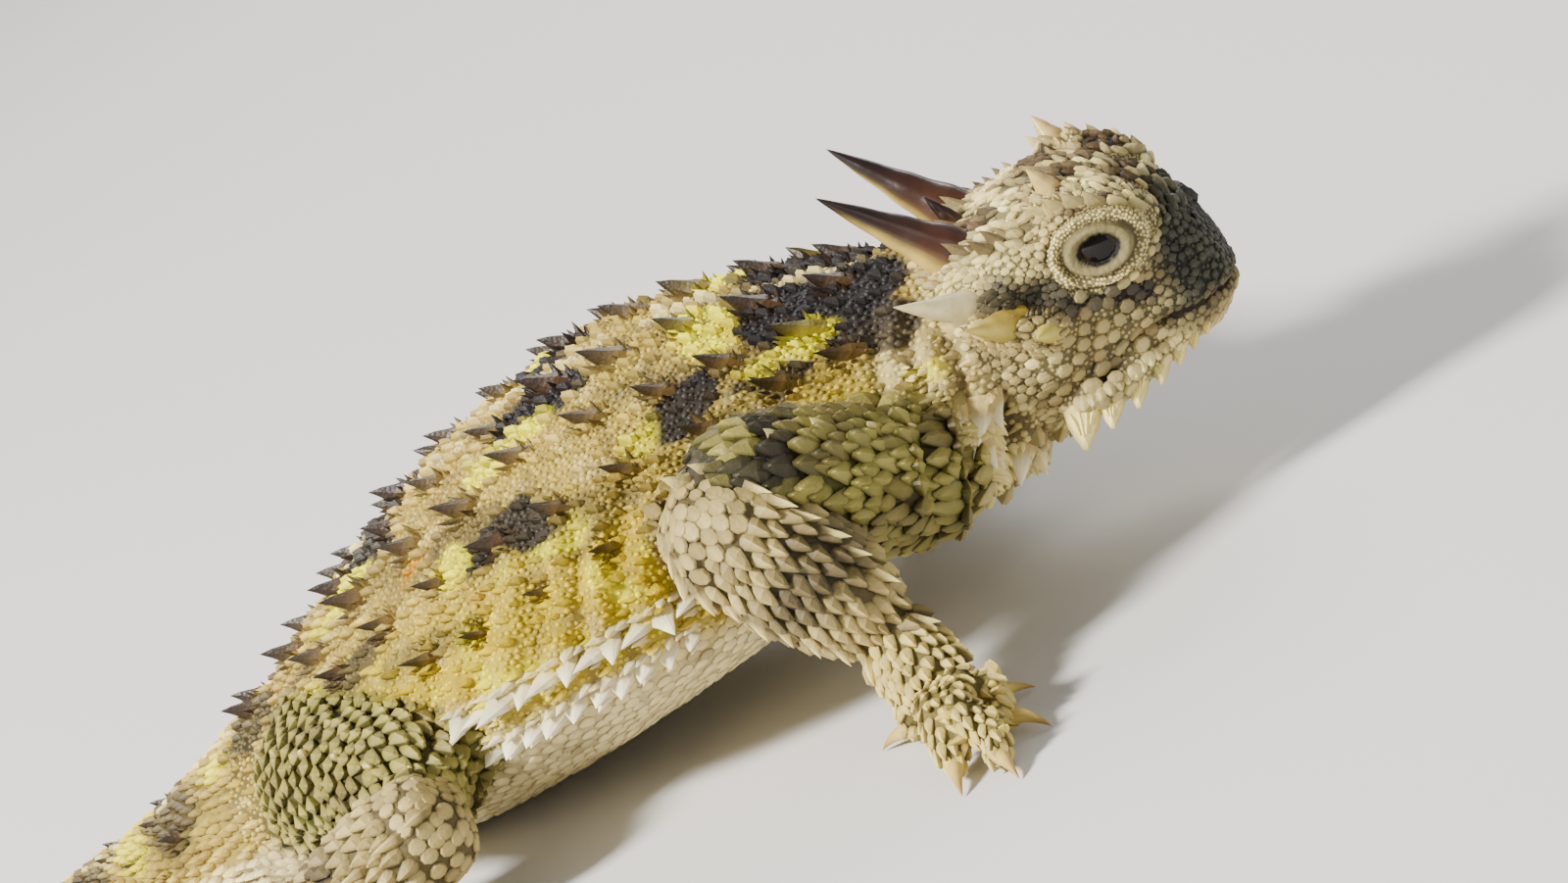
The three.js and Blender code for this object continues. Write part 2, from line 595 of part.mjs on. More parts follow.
for (const [word, side] of SIDES) {
  add(`eye_${word}`, placed(new THREE.SphereGeometry(EYE_RADIUS, 14, 8), ...mirrored(EYE_CENTRE, side)), EYE);
  for (const h of HORNS) {
    const made = horn(mirrored(h.root, side), mirrored(h.tip, side), h.radius, mirrored(h.bend, side), 8, 6);
    const material = h.name.includes("temporal") ? PALE_HORN : HORN;
    add(`${h.name}_${word}`, made.subtract(headClear).subtract(bodyClear), material);
  }
  const limb = (name, grow) => limbTube(name, word, side, grow);
  const scaled = (name, next) => {
    const spines = limbSpines(limbStations(name, word, side), LIMB_EDGES[name], side);
    const clear = next ? joined(spines).subtract(limb(next, 2 * GAP)) : joined(spines);
    return joined([limb(name, 0), clear]);
  };
  add(`upper_arm_${word}`, scaled("upper_arm", "forearm").subtract(bodyClear), LIMB);
  add(`forearm_${word}`, scaled("forearm").subtract(limb("upper_arm", GAP)).subtract(bodyClear), LIMB);
  add(`thigh_${word}`, above(scaled("thigh", "shin")).subtract(bodyClear), LIMB);
  add(`shin_${word}`, above(scaled("shin")).subtract(limb("thigh", GAP)).subtract(bodyClear), LIMB);
  add(`hand_${word}`, above(paw(HAND, side, 0)).subtract(limb("forearm", GAP)), LIMB);
  add(`foot_${word}`, above(paw(FOOT, side, 0)).subtract(limb("shin", GAP)), LIMB);
  for (const [kind, plan] of [["hand", HAND], ["foot", FOOT]])
    plan.digits.forEach((_, i) => {
      const made = above(claw(plan, i, side)).subtract(digit(plan, i, side, GAP));
      add(`claw_${kind}_${word}_${i + 1}`, made, CLAW);
    });
}
const { root, tip, radius, bend } = MIDDLE_HORN;
add("horn_interoccipital", horn(root, tip, radius, bend).subtract(headClear), HORN);

export default group;
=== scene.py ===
"""A Texas horned lizard at life size, sitting up on its forelegs: skin, scales, horns, eyes and claws."""
import math

import bpy
import bmesh
import numpy as np
from mathutils import Matrix, Vector
from mathutils.kdtree import KDTree


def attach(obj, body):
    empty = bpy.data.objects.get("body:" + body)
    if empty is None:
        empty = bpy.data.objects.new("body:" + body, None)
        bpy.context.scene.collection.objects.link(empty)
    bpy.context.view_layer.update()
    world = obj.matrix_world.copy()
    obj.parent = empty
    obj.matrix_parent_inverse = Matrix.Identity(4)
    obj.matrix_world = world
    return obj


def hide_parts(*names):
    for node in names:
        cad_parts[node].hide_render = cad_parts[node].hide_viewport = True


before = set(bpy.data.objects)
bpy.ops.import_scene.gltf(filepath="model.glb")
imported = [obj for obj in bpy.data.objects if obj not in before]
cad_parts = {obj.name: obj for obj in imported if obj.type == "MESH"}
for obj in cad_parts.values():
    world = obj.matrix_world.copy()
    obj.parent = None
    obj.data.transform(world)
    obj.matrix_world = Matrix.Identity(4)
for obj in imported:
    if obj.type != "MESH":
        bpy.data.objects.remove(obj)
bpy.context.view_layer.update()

rng = np.random.default_rng(7)

# How much further from grey the colours are set, to stand up to the studio's soft light.
RICHNESS = 1.3
# All forms are worked out in millimetres and turned into metres when a mesh is made.
MM = 0.001
SKIN_VOXEL = 0.34
SKIN_SUNK = 0.12
ABOVE_FLOOR = 0.03
SIDES = (("right", -1.0), ("left", 1.0))
FLESH = ["head", "neck", "torso", "tail"]
LIMB_PARTS = ("upper_arm", "forearm", "thigh", "shin")
LIMB_NODES = [f"{part}_{word}" for word, _ in SIDES for part in LIMB_PARTS + ("hand", "foot")]

# Rings of the trunk from the tail's tip to the nape, then of the head from the nape to the snout:
# x, sideways drift, height of the widest line, height of the top, height of the underside, half the width.
TRUNK = np.array([
    (-53, -5.6, 0.9, 1.3, 0.5, 0.5), (-46, -3.9, 1.1, 2.2, -0.4, 1.5), (-38, -2.3, 1.7, 3.5, -0.4, 2.6),
    (-30, -1.1, 2.4, 5.0, -0.4, 3.9), (-22, -0.4, 3.3, 7.0, -0.4, 5.4), (-15, 0, 4.7, 9.8, -0.5, 8.0),
    (-9, 0, 6.6, 12.9, -0.6, 11.4), (-2, 0, 8.9, 17.3, -0.7, 16.2), (6, 0, 11.3, 21.8, -0.1, 20.8),
    (13.5, 0, 12.8, 24.6, 1.5, 23.8), (21.7, 0, 13.5, 26.6, 3.2, 23.6), (30, 0, 13.8, 26.8, 4.8, 20.6),
    (37, 0, 14.2, 25.9, 6.0, 16.2), (43.5, 0, 15.0, 24.9, 6.6, 13.0), (48.5, 0, 16.0, 24.2, 6.9, 11.4),
    (53, 0, 16.6, 23.0, 8.7, 8.6),
])
HEAD = np.array([
    (46.6, 0, 18.6, 21.6, 15.0, 5.6), (48.2, 0, 18.6, 23.6, 11.6, 9.0), (50.6, 0, 18.6, 24.9, 10.2, 10.7),
    (53.5, 0, 18.4, 25.5, 9.8, 10.9), (56.5, 0, 18.0, 26.1, 9.9, 9.6), (59.5, 0, 17.4, 25.6, 10.2, 8.0),
    (62.3, 0, 16.8, 24.1, 10.7, 6.9), (64.6, 0, 16.2, 22.2, 11.2, 5.7), (65.9, 0, 15.6, 19.7, 12.1, 4.3),
    (66.8, 0, 15.2, 17.4, 13.2, 2.4),
])
X, DRIFT, MID, TOP, LOW, HALF = range(6)
EYE_CENTRE = np.array((60.1, 5.6, 21.5))
EYE_RADIUS = 3.1
LID_RADIUS = 3.95
LID_REACH = LID_RADIUS + 1.2
LID_TOP = 24.4
LID_OPENING = (1.5, 1.08)
EAR = np.array((54.9, 10.2, 20.4))
NOSTRIL = np.array((65.9, 2.0, 19.4))

# Ridges on the head, as tubes: points with radii, for the left side.
HEAD_RIDGES = [
    [(56.4, 6.1, 24.6, 1.5), (59.4, 6.8, 24.3, 1.5), (62.2, 6.1, 23.0, 1.3), (64.6, 4.2, 20.9, 0.9)],
    [(58.6, 5.9, 24.4, 1.7), (58.2, 6.2, 25.8, 1.2), (57.9, 6.4, 26.6, 0.9)],
    [(57.4, 8.2, 17.2, 1.7), (53.4, 9.6, 18.8, 2.0), (50.2, 8.6, 20.8, 1.9), (48.8, 5.6, 22.6, 1.6)],
    [(64.2, 3.4, 12.9, 0.9), (60.5, 5.6, 12.4, 1.3), (56.5, 7.6, 12.0, 1.5), (52.8, 8.4, 12.2, 1.4)],
]
LIMBS = {
    "upper_arm_right": [(46.5, 8.5, 10.8, 4.6), (41.2, 14.2, 14.0, 4.8),
                        (35.4, 19.6, 18.2, 4.6), (30.6, 22.4, 20.8, 3.9)],
    "forearm_right": [(29.8, 22.6, 22.0, 3.7), (31.8, 22.7, 17.6, 4.7),
                      (35.6, 23.0, 12.2, 4.2), (39.2, 23.8, 6.4, 3.0)],
    "upper_arm_left": [(46.5, 8.5, 10.8, 4.6), (43.0, 14.0, 12.0, 4.8),
                       (38.8, 19.4, 13.6, 4.5), (35.2, 22.6, 14.6, 3.8)],
    "forearm_left": [(34.4, 22.8, 16.0, 3.5), (35.8, 23.0, 13.4, 4.3),
                     (38.0, 23.4, 9.8, 3.8), (39.8, 23.8, 6.2, 3.0)],
    "thigh": [(-8, 5, 7.2, 5.0), (-3, 12.5, 8.6, 5.2), (3.2, 20, 9.4, 4.6), (8, 25.6, 8.6, 3.5)],
    "shin": [(8.6, 26.6, 9.0, 3.3), (4.4, 28, 7.6, 4.0), (-2.6, 28.4, 5.2, 3.0), (-8.6, 28, 2.8, 2.2)],
}
PAWS = {
    "hand": {
        "palm": [(38.2, 23.5, 8.2, 2.7), (39.8, 25.2, 4.8, 2.9), (41.2, 28.6, 2.6, 2.6)],
        "knuckle": (40.9, 27.8, 2.9),
        "digits": [(44.0, 26.2, 1.15), (45.6, 31.4, 1.25), (44.6, 37.2, 1.3), (41.4, 36.2, 1.3),
                   (37.6, 26.4, 1.15)],
    },
    "foot": {
        "palm": [(-9.2, 27.8, 2.7, 2.1), (-6.4, 29.2, 1.9, 2.6), (-2.8, 30.6, 1.4, 2.4)],
        "knuckle": (-3.4, 30.4, 1.7),
        "digits": [(1.6, 28.4, 1.0), (5.0, 30.4, 1.15), (7.2, 33.8, 1.25), (5.8, 38.8, 1.3),
                   (-1.4, 38.4, 1.05)],
    },
}
TIP_HEIGHT = 0.8
CLAW_LENGTH = 2.6


# Smooth value of a column of the stations at x.
def along(stations, key, x):
    xs = stations[:, X]
    x = np.clip(x, xs[0], xs[-1])
    i = np.clip(np.searchsorted(xs, x, side="left") - 1, 0, len(xs) - 2)

    def slope(j):
        a, b = np.maximum(j - 1, 0), np.minimum(j + 1, len(xs) - 1)
        return (stations[b, key] - stations[a, key]) / (xs[b] - xs[a])

    h = xs[i + 1] - xs[i]
    t = (x - xs[i]) / h
    rise = stations[i, key] * (1 + 2 * t) * (1 - t) ** 2 + stations[i + 1, key] * t * t * (3 - 2 * t)
    return rise + h * slope(i) * t * (1 - t) ** 2 - h * slope(i + 1) * t * t * (1 - t)


def power(v, e):
    return np.sign(v) * np.abs(v) ** e


def section(stations, x, angle, up, down, grow=0.0):
    c, s = np.cos(angle), np.sin(angle)
    square = np.where(s > 0, up, down)
    mid = along(stations, MID, x)
    height = np.where(s > 0, along(stations, TOP, x) - mid, mid - along(stations, LOW, x)) + grow
    y = along(stations, DRIFT, x) + (along(stations, HALF, x) + grow) * power(c, 2 / square)
    return np.stack(np.broadcast_arrays(x, y, mid + height * power(s, 2 / square)), -1)


# Angles spread evenly round a full turn.
def turns(count, shift=0.0):
    return (np.arange(count) + shift) / count * 2 * math.pi


# Unit vectors across and up from a way, or from rows of ways.
def turned(way, hint):
    across = np.cross(way, hint)
    single = across.ndim == 1
    across /= np.linalg.norm(across) if single else np.linalg.norm(across, axis=1, keepdims=True)
    return across, np.cross(across, way)


# Unit vectors round a way, at the angles.
def circle(way, angle):
    across, up = turned(way, (0, 0, 1.0))
    return across * np.cos(angle)[:, None] + up * np.sin(angle)[:, None]


# A closed shell over a grid of rings, shut by a pole at each end: returns points and faces.
def shell(rings, first, last):
    count, around = rings.shape[:2]
    points = np.concatenate([rings.reshape(-1, 3), [first], [last]])
    faces = []
    for r in range(count - 1):
        for a in range(around):
            b = (a + 1) % around
            faces.append((r * around + a, r * around + b, (r + 1) * around + b, (r + 1) * around + a))
    pole, top = count * around, (count - 1) * around
    for a in range(around):
        b = (a + 1) % around
        faces.append((b, a, pole))
        faces.append((top + a, top + b, pole + 1))
    return points, faces


def lengthwise(stations, around, count, up, down, grow, ease=lambda t: t):
    low, high = stations[0, X], stations[-1, X]
    x = low + (high - low) * ease(np.linspace(0, 1, count))
    rings = section(stations, x[:, None], turns(around)[None, :], up, down, grow)
    first = (low - 0.6 - grow, along(stations, DRIFT, low), along(stations, MID, low))
    last = (high + 0.4 + grow, 0, along(stations, MID, high))
    return shell(rings, first, last)


# Point and tangent of a smooth curve through the points, for shares t of its length in points.
def curve(points, t):
    p = np.asarray(points, float)
    p = np.vstack([2 * p[0] - p[1], p, 2 * p[-1] - p[-2]])
    at = np.clip(np.asarray(t, float), 0, 1) * (len(p) - 3)
    i = np.minimum(at.astype(int), len(p) - 4)
    w = (at - i)[:, None]
    a, b, c, d = p[i], p[i + 1], p[i + 2], p[i + 3]
    gap = [np.sqrt(np.linalg.norm(q, axis=1, keepdims=True)) for q in (b - a, c - b, d - c)]
    start = ((b - a) / gap[0] - (c - a) / (gap[0] + gap[1]) + (c - b) / gap[1]) * gap[1]
    end = ((c - b) / gap[1] - (d - b) / (gap[1] + gap[2]) + (d - c) / gap[2]) * gap[1]
    k2, k3 = -3 * b + 3 * c - 2 * start - end, 2 * b - 2 * c + start + end
    spot = b + start * w + k2 * w ** 2 + k3 * w ** 3
    tangent = start + 2 * k2 * w + 3 * k3 * w ** 2
    return spot, tangent / np.linalg.norm(tangent, axis=1, keepdims=True)


def mirrored(stations, side):
    out = np.array(stations, float)
    out[:, 1] *= side
    return out


def tube(stations, around, count, grow=0.0, flat=1.0, hint=(0, 0, 1), round_end=0.12):
    stations = np.asarray(stations, float)
    t = np.linspace(0, 1, count + 1)[1:-1]
    centre, tangent = curve(stations[:, :3], t)
    table = np.column_stack([np.linspace(0, 1, len(stations)), stations[:, 3]])
    end = np.minimum(t, 1 - t) / round_end
    swell = np.where(end < 1, np.sqrt(np.maximum(0, 1 - (1 - end) ** 2)), 1)
    r = along(table, 1, t) * swell + grow
    across, up = turned(tangent, np.asarray(hint, float))
    angle = turns(around)
    rings = (centre[:, None] + across[:, None] * (r[:, None] * np.cos(angle))[..., None]
             + up[:, None] * (r[:, None] * flat * np.sin(angle))[..., None])
    ends, ways = curve(stations[:, :3], [0, 1])
    return shell(rings, ends[0] - ways[0] * grow, ends[1] + ways[1] * grow)


def ball(centre, radius, around=40, count=24):
    lat = np.linspace(0, math.pi, count + 1)[1:-1]
    lon = turns(around)
    ring = np.stack(np.broadcast_arrays(
        np.sin(lat)[:, None] * np.cos(lon), np.sin(lat)[:, None] * np.sin(lon), np.cos(lat)[:, None]), -1)
    centre = np.asarray(centre, float)
    return shell(centre + ring * radius, centre + (0, 0, radius), centre - (0, 0, radius))


def limb_stations(name, word, side):
    return mirrored(LIMBS.get(f"{name}_{word}", LIMBS.get(name)), side)


def digit_stations(paw, index, side):
    plan = PAWS[paw]
    x, y, r = plan["digits"][index]
    kx, ky, kz = plan["knuckle"]
    arch = (kx + (x - kx) * 0.55, ky + (y - ky) * 0.55, kz + 0.5, r)
    return mirrored([(kx, ky, kz, r * 1.15), arch, (x, y, TIP_HEIGHT, r * 0.72)], side)


def mesh_object(name, points, faces, smooth=True):
    mesh = bpy.data.meshes.new(name)
    if not isinstance(faces, list):
        faces = faces.tolist()
    mesh.from_pydata((np.asarray(points) * MM).tolist(), [], faces)
    mesh.validate()
    obj = bpy.data.objects.new(name, mesh)
    bpy.context.scene.collection.objects.link(obj)
    if smooth:
        mesh.polygons.foreach_set("use_smooth", np.ones(len(mesh.polygons), bool))
    return obj


def joined(shells):
    points, faces, start = [], [], 0
    for p, f in shells:
        points.append(p)
        faces += [tuple(i + start for i in face) for face in f]
        start += len(p)
    return np.concatenate(points), faces


def flesh_shells():
    shells = [
        lengthwise(TRUNK, 96, 220, 2, 2.3, -SKIN_SUNK),
        lengthwise(HEAD, 80, 90, 2.7, 2.2, -SKIN_SUNK, lambda t: 1 - (1 - t) ** 1.35),
    ]
    for word, side in SIDES:
        shells.append(ball(EYE_CENTRE * (1, side, 1), LID_RADIUS - SKIN_SUNK))
        for ridge in HEAD_RIDGES:
            shells.append(tube(mirrored(ridge, side), 24, 30, -SKIN_SUNK, round_end=0.3))
        for name in LIMB_PARTS:
            shells.append(tube(limb_stations(name, word, side), 40, 40, -SKIN_SUNK, round_end=0.25))
        for paw, plan in PAWS.items():
            palm = mirrored(plan["palm"], side)
            shells.append(tube(palm, 32, 24, -SKIN_SUNK, 0.8, (0, side, 0.2), 0.25))
            for i in range(len(plan["digits"])):
                shells.append(tube(digit_stations(paw, i, side), 20, 24, -0.05, round_end=0.2))
    return shells


def read_mesh(mesh):
    points = np.empty(len(mesh.vertices) * 3)
    mesh.vertices.foreach_get("co", points)
    normals = np.empty(len(mesh.vertices) * 3)
    mesh.vertices.foreach_get("normal", normals)
    return points.reshape(-1, 3) / MM, normals.reshape(-1, 3)


def edge_pairs(mesh):
    edges = np.empty(len(mesh.edges) * 2, int)
    mesh.edges.foreach_get("vertices", edges)
    return edges.reshape(-1, 2)


# Moves each point toward the mean of its neighbours, by share (0 to 1 a point), the given number of times.
def relax(points, edges, share, times):
    count = len(points)
    both = np.concatenate([edges, edges[:, ::-1]])
    valence = np.bincount(both[:, 0], minlength=count)[:, None]
    share = np.asarray(share).reshape(-1, 1)
    for _ in range(times):
        sums = [np.bincount(both[:, 0], points[both[:, 1], k], count) for k in range(3)]
        points = points + (np.stack(sums, 1) / valence - points) * share
    return points


def smoothstep(low, high, v):
    t = np.clip((v - low) / (high - low), 0, 1)
    return t * t * (3 - 2 * t)


# Smooth seeded noise from -1 to 1 over space, with features about size millimetres across.
def noise(p, size, seed):
    q = np.asarray(p) / size + seed * 17.31
    cell = np.floor(q).astype(np.int64)
    f = q - cell
    f = f * f * (3 - 2 * f)
    total = 0.0
    for corner in np.ndindex(2, 2, 2):
        h = ((cell + corner) * np.array((73856093, 19349663, 83492791))).sum(-1) + seed * 7919
        h = (h ^ (h >> 13)) * 1274126177 & 0x7FFFFFFF
        value = (h ^ (h >> 16)) % 100003 / 50001.5 - 1
        total = total + value * np.where(corner, f, 1 - f).prod(-1)
    return total


# The body's own coordinates of points: x, and degrees from the middle of the back.
def body_place(p):
    x = p[:, 0]
    mid, drift = along(TRUNK, MID, x), along(TRUNK, DRIFT, x)
    c = np.abs(p[:, 1] - drift) / along(TRUNK, HALF, x)
    s = (p[:, 2] - mid) / np.maximum(along(TRUNK, TOP, x) - mid, 0.2)
    return x, np.degrees(np.arctan2(c, s))


# Share of a point in the head (1) or the body (0).
def head_share(p):
    return smoothstep(48.5, 51.5, p[:, 0] + 0.35 * (p[:, 2] - 17))


# A copy of the points with the right side laid onto the left one.
def folded(p):
    out = p.copy()
    out[:, 1] = np.abs(out[:, 1])
    return out


# Points seen from the centre of their eye, and how far out they are: 1 at the rim of the lid opening.
def eye_place(p):
    q = folded(p) - EYE_CENTRE
    return q, np.sqrt((q[:, 0] / LID_OPENING[0]) ** 2 + (q[:, 2] / LID_OPENING[1]) ** 2)


MOUTH = [(55.6, 8.6, 12.3), (57.4, 8.2, 13.2), (59.6, 7.5, 14.3), (62.4, 6.2, 14.5), (65.6, 3.9, 14.2),
         (67.4, 0, 14.1)]
FAR_FROM_MOUTH = 9.0


# Distance to the mouth line of the folded points that near picks.
def mouth_gap(a, near, samples=60):
    line, _ = curve(MOUTH, np.linspace(0, 1, samples))
    gap = np.full(len(a), FAR_FROM_MOUTH)
    gap[near] = np.sqrt(((a[near, None] - line[None]) ** 2).sum(-1)).min(1)
    return gap


# Height on the head, with the lower forehead raised to the level of the crown.
def crown_height(a):
    return a[:, 2] + 0.55 * np.maximum(a[:, 0] - 59, 0)


# Where a point lies across the slanting folds of the flank.
def flank_slant(p, degrees):
    return p[:, 0] * 0.75 + degrees * 0.055 + 0.9 * noise(p, 6, 3)


# Folds round the neck: 1 on a fold's crest, -1 in the crease between two.
def neck_fold(p):
    return np.sin((p[:, 0] * 1.1 - p[:, 2] * 0.32 + 0.6 * noise(p, 3, 4)) * 2.1)


LID_WAVE = dict(first=1.4, step=0.75, last=3.1)


# Folds round the lid opening: 1 on a fold's crest, -1 in the crease between two.
def lid_wave(d):
    wave = np.cos((d - LID_WAVE["first"]) / LID_WAVE["step"] * 2 * math.pi)
    return wave * smoothstep(1.0, 1.05, d) * smoothstep(LID_WAVE["last"], 2.2, d)


# Pits of the head: place, radii and depth.
PITS = ((NOSTRIL, (0.5, 0.5, 0.4), 0.7), (EAR, (1.7, 2.0, 1.0), 0.9))


# Sculpts lids, mouth, nostrils, ears, and the folds of neck and flank into the skin.
def sculpt(p, n):
    out = p.copy()
    absolute = folded(p)
    head = head_share(p)
    x, degrees = body_place(p)

    # Loose skin: broad swellings on the body, slanting folds low on the flanks, rings round the neck.
    lift = 0.22 * noise(p, 5.0, 1) * (1 - head) + 0.1 * noise(p, 1.8, 2)
    slant = np.sin(flank_slant(p, degrees) * 2.2)
    flank = smoothstep(40, 62, degrees) * smoothstep(112, 88, degrees)
    lift += 0.3 * slant * (flank * smoothstep(2, 10, x) * smoothstep(34, 28, x))
    neck = smoothstep(41, 44.5, x) * (1 - head) * smoothstep(25, 45, degrees)
    lift += 0.4 * neck * neck_fold(p)
    out += n * lift[:, None]

    # Mouth line, nostrils and ear pits.
    near = np.where(head > 0.5)[0]
    gap = mouth_gap(absolute, near, 90)[near]
    groove = -0.55 * np.exp(-(gap / 0.28) ** 2) + 0.16 * np.exp(-((gap - 0.75) / 0.35) ** 2)
    out[near] += n[near] * groove[:, None]
    for spot, radii, depth in PITS:
        d = np.sqrt((((absolute - spot) / radii) ** 2).sum(1))
        out -= n * (depth * np.exp(-d ** 2.2))[:, None]
        out += n * (0.16 * np.exp(-((d - 1.5) / 0.4) ** 2))[:, None]

    # Lids: rings of folds round the opening, and a pit under it where the eyeball shows.
    q, d = eye_place(p)
    reach = np.linalg.norm(q, axis=1)
    on_lid = (reach < LID_REACH) & (q[:, 1] > 0.3)
    rings = 0.26 * lid_wave(d)
    out += n * np.where(on_lid, rings, 0)[:, None]
    pit = on_lid & (d < 1.0)
    centre = np.tile(EYE_CENTRE, (len(p), 1))
    centre[:, 1] *= np.sign(p[:, 1])
    way = (p - centre) / np.maximum(reach, 0.1)[:, None]
    inner = centre + way * (EYE_RADIUS - 0.45)
    out[pit] = inner[pit]
    out[:, 2] = np.maximum(out[:, 2], ABOVE_FLOOR)
    return out


# Where limbs and body meet, and how far round each the skin is smoothed, for the left side.
JOINT_SPOTS = (((42, 13, 13), 7.0), ((47.5, 8, 9.5), 6.0), ((-3, 12.5, 8.5), 6.0), ((31, 22, 19), 3.5),
               ((39, 23.8, 6.5), 2.5), ((8, 26, 9), 3.0), ((-8, 28, 3), 2.5))
FINE_HEAD_FROM = 0.0515


# One closed skin over head, trunk and limbs, smoothed where they meet, then sculpted.
def make_skin():
    points, faces = joined(flesh_shells())
    rough = mesh_object("skin", points, faces)
    remesh = rough.modifiers.new("remesh", "REMESH")
    remesh.mode = "VOXEL"
    remesh.voxel_size = SKIN_VOXEL * MM
    mesh = bpy.data.meshes.new_from_object(rough.evaluated_get(bpy.context.evaluated_depsgraph_get()))
    rough.modifiers.clear()
    rough.data = mesh
    p, _ = read_mesh(mesh)
    edges = edge_pairs(mesh)
    paw = smoothstep(6.5, 4.5, p[:, 2]) * smoothstep(22.5, 25, np.abs(p[:, 1]))
    p = relax(p, edges, 0.5 * (1 - 0.6 * paw), 8)
    joints = np.zeros(len(p))
    for spot, reach in JOINT_SPOTS:
        for _, side in SIDES:
            d = np.linalg.norm(p - np.array(spot) * (1, side, 1), axis=1) / reach
            joints = np.maximum(joints, smoothstep(1.3, 0.6, d))
    nape = smoothstep(5.0, 2.5, np.abs(p[:, 0] - 49)) * smoothstep(0, 4, p[:, 2] - 6)
    p = relax(p, edges, 0.6 * np.maximum(joints, 0.8 * nape), 45)
    p[:, 2] = np.maximum(p[:, 2], ABOVE_FLOOR)
    mesh.vertices.foreach_set("co", (p * MM).ravel())
    mesh.update()

    # The head is divided once more, so that lids and lips come out sharp.
    grid = bmesh.new()
    grid.from_mesh(mesh)
    fine = {e for f in grid.faces if f.calc_center_median().x > FINE_HEAD_FROM for e in f.edges}
    bmesh.ops.subdivide_edges(grid, edges=list(fine), cuts=1, use_grid_fill=True, smooth=0)
    bmesh.ops.triangulate(grid, faces=[f for f in grid.faces if len(f.verts) > 4])
    grid.to_mesh(mesh)
    grid.free()
    p, n = read_mesh(mesh)
    edges = edge_pairs(mesh)
    p = sculpt(p, n)
    p = relax(p, edges, 0.35, 1)
    mesh.vertices.foreach_set("co", (p * MM).ravel())
    mesh.update()
    mesh.polygons.foreach_set("use_smooth", np.ones(len(mesh.polygons), bool))
    return rough


# Colours, as seen, from 0 to 255, turned into linear light.
def colour(r, g, b):
    c = np.array((r, g, b)) / 255
    return np.where(c <= 0.04045, c / 12.92, ((c + 0.055) / 1.055) ** 2.4)


TAN = colour(178, 158, 100)
SHADE = colour(96, 82, 56)
OCHRE = colour(188, 168, 78)
CHARCOAL = colour(34, 30, 30)
CREAM_YELLOW = colour(236, 228, 112)
CREAM = colour(232, 218, 166)
BELLY = colour(214, 200, 160)
ORANGE = colour(196, 136, 56)
GREY_BEIGE = colour(172, 156, 116)
# Slate of the snout, darkened well past its own colour as painted shade.
SLATE_AND_PAINTED_SHADE = colour(28, 33, 33)
UMBER = colour(62, 42, 30)
OLIVE = colour(128, 122, 72)
LIMB_BEIGE = colour(156, 140, 100)
DIGIT_CREAM = colour(204, 186, 124)

# Dark blotches of one side: x, degrees from the middle of the back, their two radii, and how dark.
BLOTCHES = [
    (40.6, 19, 6.4, 20, 1.0), (30.6, 39, 2.9, 8.5, 0.97), (19.6, 14, 3.9, 9.5, 1.0),
    (16.9, 47, 3.6, 7.5, 0.95), (3.0, 12.5, 3.8, 10, 0.95), (1.6, 50, 4.2, 7, 0.8),
    (-10.5, 22, 2.6, 16, 0.8), (-19, 30, 2.2, 34, 0.7), (-27.5, 30, 2.0, 40, 0.7),
    (-35, 30, 1.8, 50, 0.7), (-42, 30, 1.5, 60, 0.7), (13.4, 39, 3.2, 6.5, 0.6), (23, 55, 4.6, 6, 0.5),
    (9, 64, 4.8, 5, 0.45), (-2, 68, 3.6, 6, 0.5), (34, 52, 3.4, 5, 0.4), (27, 24, 3.0, 5, 0.3),
    (-6, 34, 3.0, 6, 0.45), (44.4, 41, 3.5, 12, 0.95), (37.4, 45, 3.4, 2.6, 0.8),
]
# Yellow and cream rims and patches, in the same terms.
LIGHT_PATCHES = [
    (39.4, 33.5, 2.1, 6.5, 0.9), (32.4, 17, 1.9, 12, 0.9), (36.6, 39, 1.6, 5, 0.6),
    (16.8, 22.5, 3.4, 4.2, 1.0), (12.6, 45, 1.4, 6.5, 0.8), (20.2, 55, 2.6, 3.0, 0.6),
    (0.6, 20, 2.6, 4.0, 0.9), (-3.2, 50, 1.7, 7, 0.7), (-14.2, 24, 1.2, 14, 0.7),
    (27.6, 42, 1.3, 5.5, 0.6), (-23, 30, 1.2, 34, 0.6), (-31, 30, 1.2, 44, 0.6),
]


def patch(x, degrees, spot, soft):
    x0, d0, rx, rd, strength = spot
    d = np.sqrt(((x - x0) / rx) ** 2 + ((degrees - d0) / rd) ** 2)
    return strength * smoothstep(1 + soft, 1 - soft, d)


def blend(a, b, share):
    return a + (b - a) * np.asarray(share)[..., None]


# Where the belly's plates begin, in degrees from the middle of the back: lower on the neck than on the trunk.
def belly_edge(x):
    return 100 + 50 * smoothstep(40, 45, x)


